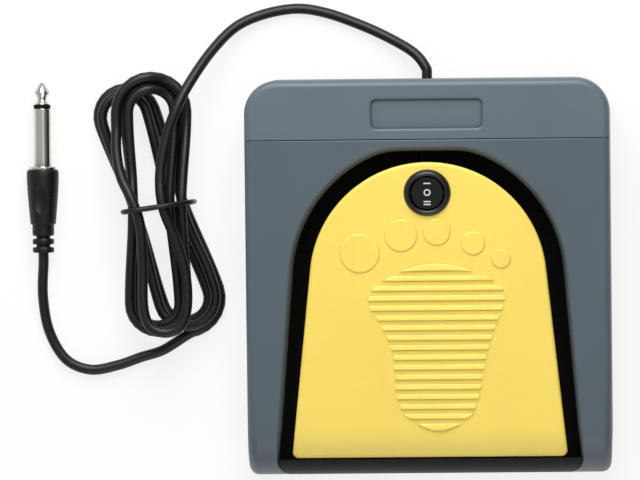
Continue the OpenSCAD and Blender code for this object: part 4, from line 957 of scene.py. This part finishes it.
def rib_pad(i):
    """A low wedge across the sole: it rises from its rear edge to a lip at its front.

    The first rib's rear edge and the last one's front edge are arched."""
    top, first, last = RIB_FIRST - RIB_PITCH * i, i == 0, i == RIB_COUNT - 1
    rows = []
    for k in range(-1, RIB_STEPS + 2):
        share = min(max(k / RIB_STEPS, 0), 1)
        cap = RIB_CAP / RIB_W * max(1 - (2 * share - 1) ** 2, RIB_THIN)
        row = []
        for back, high in RIB_SECTION:
            left, right = sole_edges(top - (RIB_W if first else 0 if last else back))
            if first:
                back = RIB_W - (RIB_W - back) * cap
            if last:
                back = back * cap
            high = -PAD_SUNK if k in (-1, RIB_STEPS + 1) else high
            row.append(Vector((left + (right - left) * share, top - back, plate_z(top - back) + high)))
        rows.append(row)
    return sheet("rib", rows)


pads = [toe_pad(*each) for each in TOES] + [rib_pad(i) for i in range(RIB_COUNT)]
print("pads of the foot:", len(pads))

# %% Underside: the CAD node's own, with its old top and outer wall taken off
STEEP, OLD_SKIN = 0.2, 0.15


def inside_outline(p):
    """How far a plan point lies inside the plate's outline."""
    rel = Vector((abs(p.x), p.y - ARCH_Y))
    past = rel.y < PLATE_R * math.sin(PLATE_SPREAD)
    side = PLATE_R - (rel.dot(SIDE_OUT) if past else rel.length)
    return min(side, p.y - PLATE_FRONT_Y)


def is_old_skin(face):
    """Whether a face belongs to the old top or outer wall."""
    c = face.center / MM
    outer = abs(face.normal.z) < STEEP and inside_outline(c) < OLD_SKIN
    return outer or c.z > plate_z(max(c.y, PLATE_FRONT_Y)) - OLD_SKIN


underside = own_copy(nodes["pedal_plate"])
underside.name = "plate_underside"
pick(sew(underside), "FACE", is_old_skin)
with editing(underside, None):
    bpy.ops.mesh.delete(type="FACE")
foot_plate = join("foot_plate", [plate_top, underside] + [sew(p) for p in pads])
finished(foot_plate, "plate_yellow", "pedal", "pedal_plate", weigh=True)
print("foot plate faces:", len(foot_plate.data.polygons))

# %% [markdown]
# ## Polarity rocker
# A round rocker switch sits in the plate: a domed rim, a dark gap and a dished button with printed marks for
# its three places. Turned parts are made as on a lathe: one point is extruded along half of the section and
# the spin operator turns it. The button's dish is pressed in afterwards by moving the points of its top.


# %% A lathe: extrude a point along a section, then spin it
def turned(name, section, place=Matrix(), steps=72):
    """A turned part. The section holds radius and height in millimetres."""
    part = added(bpy.ops.mesh.primitive_plane_add, size=0.001)
    part.name = name
    points = [Vector((r, 0, z)) * MM for r, z in section]
    with editing(part):
        bpy.ops.mesh.select_mode(type="VERT")
        bpy.ops.mesh.merge(type="CENTER")
        bpy.ops.transform.translate(value=points[0])
        for here, there in zip(points, points[1:]):
            bpy.ops.mesh.extrude_region_move(TRANSFORM_OT_translate={"value": there - here})
        bpy.ops.mesh.select_all(action="SELECT")
        bpy.ops.mesh.spin(steps=steps, angle=2 * math.pi, center=(0, 0, 0), axis=(0, 0, 1))
    sew(part)
    part.data.transform(place)
    return part


def block(place, size, turn=0.0):
    """A plain block, in millimetres."""
    piece = added(bpy.ops.mesh.primitive_cube_add, size=1, location=[c * MM for c in place],
                  scale=[c * MM for c in size], rotation=(0, 0, turn))
    bpy.ops.object.transform_apply(location=True, rotation=True, scale=True)
    return piece


# %% Rocker rim and barrel
ON_PLATE = Matrix.Translation(Vector((0, ROCKER_Y, slope_z(ROCKER_Y, PLATE_SLOPE))) * MM) @ Matrix.Rotation(
    PLATE_SLOPE, 4, "X")
BUTTON_R, WELL_R, BARREL_R, BARREL_H = 5.85, 6.2, 7.4, 12.0
rim_section = [
    (0, -9.5), (5.9, -9.5), (WELL_R, -9.2), (WELL_R, -1.1), (6.4, -0.9), (6.4, 1.1), (6.48, 1.35), (6.85, 1.58),
    (7.25, 1.54), (7.65, 1.32), (8.0, 1.0), (8.28, 0.6), (8.44, 0.25), (8.5, 0.02), (8.45, -0.05),
    (BARREL_R, -0.05), (BARREL_R, -11.6), (7.0, -BARREL_H), (0, -BARREL_H),
]
rocker_rim = finished(turned("rocker_rim", rim_section, ON_PLATE, 96), "switch_black", "pedal", "rocker_housing")
print("rocker rim faces:", len(rocker_rim.data.polygons))

# %% Rocker button, dished, with its pivot pins and stem
PIVOT_Z, BUTTON_TOP, BUTTON_DISH, BUTTON_LOW, PIN_FLAT = 0.4, 1.0, 0.35, -3.0, -0.2
FLANK_FROM, FLANK_OVER, FLANK_ROWS = -30, 38, 8
TOP_RINGS, TOP_BAND = (5.6, 5.2, 4.4, 3.3, 2.2, 1.1, 0), 0.06
STEM_AT, STEM_SIZE, STEM_EDGE = (0, 0, -4.75), (5, 2.4, 4.5), 0.3
flank = [math.radians(FLANK_FROM + FLANK_OVER * k / FLANK_ROWS) for k in range(FLANK_ROWS + 1)]
button_section = [(0, BUTTON_LOW), (4.6, BUTTON_LOW)] + [tuple(BUTTON_R * ray_at(a)) for a in flank] + [
    (5.72, 0.95)] + [(r, BUTTON_TOP) for r in TOP_RINGS]
button = turned("button", button_section, steps=96)
for point in button.data.vertices:
    y, z = point.co.yz / MM
    if z > BUTTON_TOP - TOP_BAND:
        point.co.z -= BUTTON_DISH * (1 - (y / BUTTON_R) ** 2) * MM
pins = turned("pins", [(0, -7.0), (0.4, -7.0), (0.5, -6.9), (0.5, 6.9), (0.4, 7.0), (0, 7.0)],
              Matrix.Rotation(math.pi / 2, 4, "Y"), 24)
for point in pins.data.vertices:
    point.co.z = min(point.co.z, PIN_FLAT * MM)
stem = apply_modifier(block(STEM_AT, STEM_SIZE), "BEVEL", width=STEM_EDGE * MM, segments=2)
ON_PIVOT = ON_PLATE @ Matrix.Translation((0, 0, PIVOT_Z * MM))
rocker_button = join("rocker_button_dished", [button, pins, stem])
rocker_button.data.transform(ON_PIVOT)
finished(rocker_button, "button_black", "rocker", "rocker_button")
print("rocker button faces:", len(rocker_button.data.polygons))

# %% Printed marks: one bar, a ring and two bars
MARK_W, MARK_T, MARK_RING, MARK_MIDDLE, MARK_H, MARK_LIFT = 2.55, 0.45, 1.25, 0.3, 0.03, 0.02
BARS_AT, RING_STEPS = (3.65, -3.0, -4.05), 40


def on_dish(x, y):
    """A point just above the button's dish."""
    return Vector((x, y, BUTTON_TOP - BUTTON_DISH * (1 - (y / BUTTON_R) ** 2) + MARK_LIFT))


def bar_mark(y):
    return sheet("bar", [[on_dish(MARK_W * (j / 4 - 0.5), y + MARK_T * (i / 2 - 0.5)) for j in range(5)]
                         for i in range(3)])


def ring_mark():
    return sheet("ring", [[on_dish(r * math.cos(a), MARK_MIDDLE + r * math.sin(a))
                           for r in (MARK_RING - MARK_T, MARK_RING - MARK_T / 2, MARK_RING)]
                          for a in full_turn(RING_STEPS)])


marks = sew(join("rocker_marks", [ring_mark()] + [bar_mark(y) for y in BARS_AT]))
apply_modifier(marks, "SOLIDIFY", thickness=MARK_H * MM, offset=1.0)
marks.data.transform(ON_PIVOT)
finished(marks, "mark_white", "rocker")
print("rocker marks faces:", len(marks.data.polygons))

# %% [markdown]
# ## Jack plug
# The plug is a standard quarter-inch one: a nickel tip with a waist, a black ring, a plain sleeve, a thin bright
# collar and a moulded grip. All are turned. The grip then gets an oval thumb recess, cut with a Boolean, a
# few fine ridges beside it and a slotted strain relief.

# %% Tip, ring, sleeve and collar
TIP_Y, RING_Y, SLEEVE_Y, COLLAR_Y, SLEEVE_R = 64.1, 62.7, 41.4, 40.2, 3.175
SLEEVE_STOPS = (0, 0.3, 8.0, 15.0, 20.9)


def on_plug(y):
    return Matrix.Translation(Vector((PLUG_X, y, PLUG_Z)) * MM) @ Matrix.Rotation(-math.pi / 2, 4, "X")


tip_section = [
    (0, 0), (2.5, 0), (2.55, 0.12), (2.5, 0.35), (2.1, 0.8), (1.72, 1.5), (1.62, 2.1), (1.75, 2.6), (2.2, 3.3),
    (2.66, 4.0), (2.82, 4.35), (2.8, 4.55), (2.5, 5.2), (1.85, 6.35), (1.15, 7.45), (0.75, 7.95), (0.4, 8.2),
    (0, 8.3),
]
ring_section = [(0, 0), (2.95, 0), (3.1, 0.1), (3.14, 0.25), (3.14, 1.15), (3.05, 1.33), (2.85, 1.4), (0, 1.4)]
sleeve_section = [(0, 0)] + [(SLEEVE_R, y) for y in SLEEVE_STOPS] + [(3.12, 21.15), (2.9, 21.3), (0, 21.3)]
collar_section = [(0, 0), (5.0, 0), (5.15, 0.1), (5.2, 0.4), (5.1, 0.85), (4.7, 1.12), (4.2, 1.2), (0, 1.2)]
plug = [finished(turned("jack_" + name, section, on_plug(y)), look, "root", node)
        for name, section, y, look, node in (
            ("tip", tip_section, TIP_Y, "nickel", "plug_tip"),
            ("ring", ring_section, RING_Y, "base_black", "plug_insulator"),
            ("sleeve", sleeve_section, SLEEVE_Y, "nickel", "plug_sleeve"),
            ("collar", collar_section, COLLAR_Y, "nickel", "plug_collar"))]
print("turned pieces of the plug:", [piece.name for piece in plug])

# %% Grip with thumb recess, ridges and strain relief
grip_section = [
    (0, -7.9), (2.3, -7.9), (3.7, -7.8), (3.9, -7.55), (3.95, -7.2), (3.95, -6.2), (3.8, -5.9), (2.7, -5.75),
    (2.6, -5.6), (2.6, -5.0), (2.7, -4.85), (3.8, -4.7), (3.95, -4.4), (3.95, -3.1), (3.8, -2.8), (2.7, -2.65),
    (2.6, -2.5), (2.6, -1.9), (2.7, -1.75), (3.7, -1.6), (3.95, -1.3), (4.0, 0.0), (4.0, 2.2), (4.1, 2.45),
    (4.42, 2.6), (4.62, 2.85), (4.7, 3.3), (4.95, 6.0), (5.3, 10.0), (5.62, 14.0), (5.82, 17.5), (5.9, 20.0),
    (5.88, 21.6), (5.7, 22.3), (5.4, 22.55), (5.0, 22.6), (0, 22.6),
]
THUMB_AT, THUMB_SIZE = (PLUG_X - 1.2, GRIP_Y + 10.9, PLUG_Z + 6.2), (3.1, 6.0, 1.9)
RIDGE_COUNT, RIDGE_FIRST, RIDGE_PITCH, RIDGE_H, RIDGE_SUNK, RIDGE_STEPS = 9, 6.4, 0.7, 0.42, 0.15, 6
RIDGE_FROM, RIDGE_OVER = 42, 28
FLARE_Y, FLARE_R, FLARE = 5.8, 4.93, 0.086


def ridge(y):
    """A fine ridge that runs part of the way round the grip, at a place along it."""
    r = FLARE_R + FLARE * (y - FLARE_Y)
    rows = []
    for k in range(RIDGE_STEPS + 1):
        a = math.radians(RIDGE_FROM + RIDGE_OVER * k / RIDGE_STEPS)
        lift = RIDGE_H * math.sin(math.pi * k / RIDGE_STEPS) ** 0.5
        section = ((-0.22, -RIDGE_SUNK), (-0.12, lift - 0.03), (0, lift), (0.12, lift - 0.03), (0.22, -RIDGE_SUNK))
        rows.append([Vector((PLUG_X + (r + h) * math.cos(a), GRIP_Y + y + w, PLUG_Z + (r + h) * math.sin(a)))
                     for w, h in section])
    return sheet("ridge", rows)


grip = turned("grip", grip_section, on_plug(GRIP_Y), 80)
thumb = added(bpy.ops.mesh.primitive_uv_sphere_add, segments=48, ring_count=24, radius=MM,
              location=[c * MM for c in THUMB_AT], scale=THUMB_SIZE)
bpy.ops.object.transform_apply(location=True, rotation=True, scale=True)
cut(grip, thumb)
plug_grip = join("jack_grip", [grip] + [ridge(RIDGE_FIRST + RIDGE_PITCH * i) for i in range(RIDGE_COUNT)])
plug.append(finished(plug_grip, "grip_black", "root", "plug_grip"))
print("plug faces:", sum(len(piece.data.polygons) for piece in plug))

# %% [markdown]
# ## Tie
# A short plastic-covered wire is bent round the hank's waist. A closed curve through a few given points
# follows the strands as the real tie does.

# %% Tie round the hank
TIE_D, TIE_TURN = 1.9, math.radians(8)
TIE = [
    (-11.6, 9), (-11.5, 17), (-10.6, 22.6), (-7.6, 25.7), (-2, 26), (4, 25.9), (8.6, 23.6), (13.4, 18.4), (14.1, 10),
    (14, 4), (11.2, 1.1), (0, 1), (-8.4, 1), (-11.5, 3.4),
]
tie_points = [Vector((HANK[0] + x * math.cos(TIE_TURN), HANK[1] + x * math.sin(TIE_TURN), z)) for x, z in TIE]
tie = tube_curve("hank_tie", smooth_run(tie_points, RUN_STEPS, closed=True), TIE_D / 2, closed=True)
hung(tie, "cord_black", "root", "cord_tie")
print("hand-set points of the tie:", len(TIE))

# %% [markdown]
# ## Springs and wires
# Two coil springs push the plate up. A helix through points, with its end turns drawn close as on a ground
# spring, is swept into a wire. The wires under the plate are smooth curves, swept the same way. All are made
# meshes; the springs and the red wires hang on no body, as each runs between the housing and the plate.


# %% Return springs
def as_mesh(curve):
    """Turn a curve into a mesh."""
    only(curve)
    bpy.ops.object.convert(target="MESH")
    return bpy.context.object


SPRING_X, SPRING_Y, SPRING_LOW, SPRING_H = 22.0, 18.0, 6.5, 19.5
COIL_R, COIL_WIRE, COIL_TURNS, COIL_STEPS, COIL_CLOSE, COIL_END = 4.4, 1.2, 7, 24, 0.085, 0.65


def coil(x):
    """A spring's wire, with its end turns drawn close."""
    run = []
    for k in range(COIL_TURNS * COIL_STEPS + 1):
        share = k / COIL_STEPS / COIL_TURNS
        level = share - COIL_CLOSE * math.sin(2 * math.pi * share)
        a = 2 * math.pi * k / COIL_STEPS
        run.append(Vector((x + COIL_R * math.cos(a), SPRING_Y + COIL_R * math.sin(a),
                           SPRING_LOW + COIL_END + (SPRING_H - 2 * COIL_END) * level)))
    return as_mesh(tube_curve("coil", run, COIL_WIRE / 2, sides=4))


coils = [coil(-SPRING_X), coil(SPRING_X)]
springs = finished(join("return_coils", coils), "steel", None, "return_springs")
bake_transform(springs)
print("spring faces:", len(springs.data.polygons))

# %% Wires
WIRE_R, WIRE_Z, WIRE_STEPS, LANE, LANE_PITCH = 0.6, 5.2, 8, 4.0, 2.0
TERMINAL_DEEP, TERMINAL_PITCH, TERMINAL_IN, WIRE_HEAD = 17.0, 4.0, 0.9, 2.0
TERMINAL_Z = slope_z(ROCKER_Y, PLATE_SLOPE) - TERMINAL_DEEP * math.cos(PLATE_SLOPE)
TERMINAL_Y = ROCKER_Y + TERMINAL_DEEP * math.sin(PLATE_SLOPE)
BLACK_WIRE = [(-0.6, 52.1, 9), (-1.2, 49.2, 7.1), (-2, 46.3, 5.3), (-2, 36.3, 5.2), (-4, 18, 5.2), (-4, ARCH_Y, 5.2),
              (-3.4, -10, 5.8)]


def wire(name, path):
    return as_mesh(tube_curve(name, smooth_run(path, WIRE_STEPS), WIRE_R, sides=3))


leads = []
for k in (-1, 0, 1):
    lane, hang, along = LANE + LANE_PITCH * k, TERMINAL_Z - WIRE_Z, TERMINAL_PITCH * k
    top = Vector((0, TERMINAL_Y + along, TERMINAL_Z - TERMINAL_IN + along * math.tan(PLATE_SLOPE)))
    path = [top, top + Vector((lane / 2, -0.6, -hang / 8)), top + Vector((lane, -3.3, -hang / 3))]
    path += [Vector((lane, y, WIRE_Z + high)) for y, high in (
        (ROCKER_Y - 5, hang / 4), (SPRING_Y - 2, 1), (5, 0), (ARCH_Y, 0), (-9.4, 0))]
    leads.append(wire("lead", path))
wires = finished(join("red_wires", leads), "wire_red", None, "rocker_wires")
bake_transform(wires)
finished(wire("black_wire", [Vector(p) for p in BLACK_WIRE]), "cord_black", "root", "switch_wire")
print("wires:", len(leads) + 1)

# %% [markdown]
# ## Screws and feet
# Six screws hold the case from below. One is turned with a domed head, two crossed bars are cut from the
# head by a Boolean, and the rest are copies with their own meshes. The feet are turned rubber discs with a
# hollow underside.

# %% Case screws and rubber feet
SCREW_AT = [(58.5, -22.0), (54.0, 30.0), (36.0, 61.5)]
FOOT_AT = [(54.0, 58.0), (54.0, -60.0)]


def copies(master, places):
    """Copies of a piece, each with its own mesh, at plan places on both sides."""
    made = []
    for x, y in [(s * x, y) for x, y in places for s in (-1, 1)]:
        made.append(own_copy(master))
        made[-1].data.transform(Matrix.Translation((x * MM, y * MM, 0)))
    bpy.data.objects.remove(master)
    return made


THREAD_Z, THREAD_PITCH, THREAD_TURNS = 5.2, 1.05, 11
CROSS_AT, CROSS_SIZE = (0, 0, 2.9), (3.0, 0.75, 1.8)
thread = []
for z in (THREAD_Z + k * THREAD_PITCH for k in range(THREAD_TURNS)):
    thread += [(1.2, z), (1.5, z + 0.4), (1.5, z + 0.55)]
screw_section = [(0, 2.4), (2.2, 2.4), (2.6, 2.6), (2.75, 2.95), (2.75, 4.15), (2.6, 4.4), (1.3, 4.4)] + thread + [
    (1.1, 16.3), (0, 16.4)]
screw = turned("screw", screw_section, steps=40)
for turn in (0, math.pi / 2):
    cut(screw, block(CROSS_AT, CROSS_SIZE, turn))
case_screws = finished(join("cross_screws", copies(screw, SCREW_AT)), "steel", "root", "case_screws")
foot_section = [(0, 0.5), (4.2, 0.45), (4.5, 0.1), (4.7, 0), (5.4, 0), (5.75, 0.12), (5.95, 0.4), (6.0, 0.8),
                (6.0, 2.6), (5.85, 2.8), (0, 2.8)]
rubber_feet = finished(join("turned_feet", copies(turned("foot", foot_section), FOOT_AT)), "soft_rubber", "root",
                       "rubber_feet")
print("screw faces:", len(case_screws.data.polygons), "feet faces:", len(rubber_feet.data.polygons))
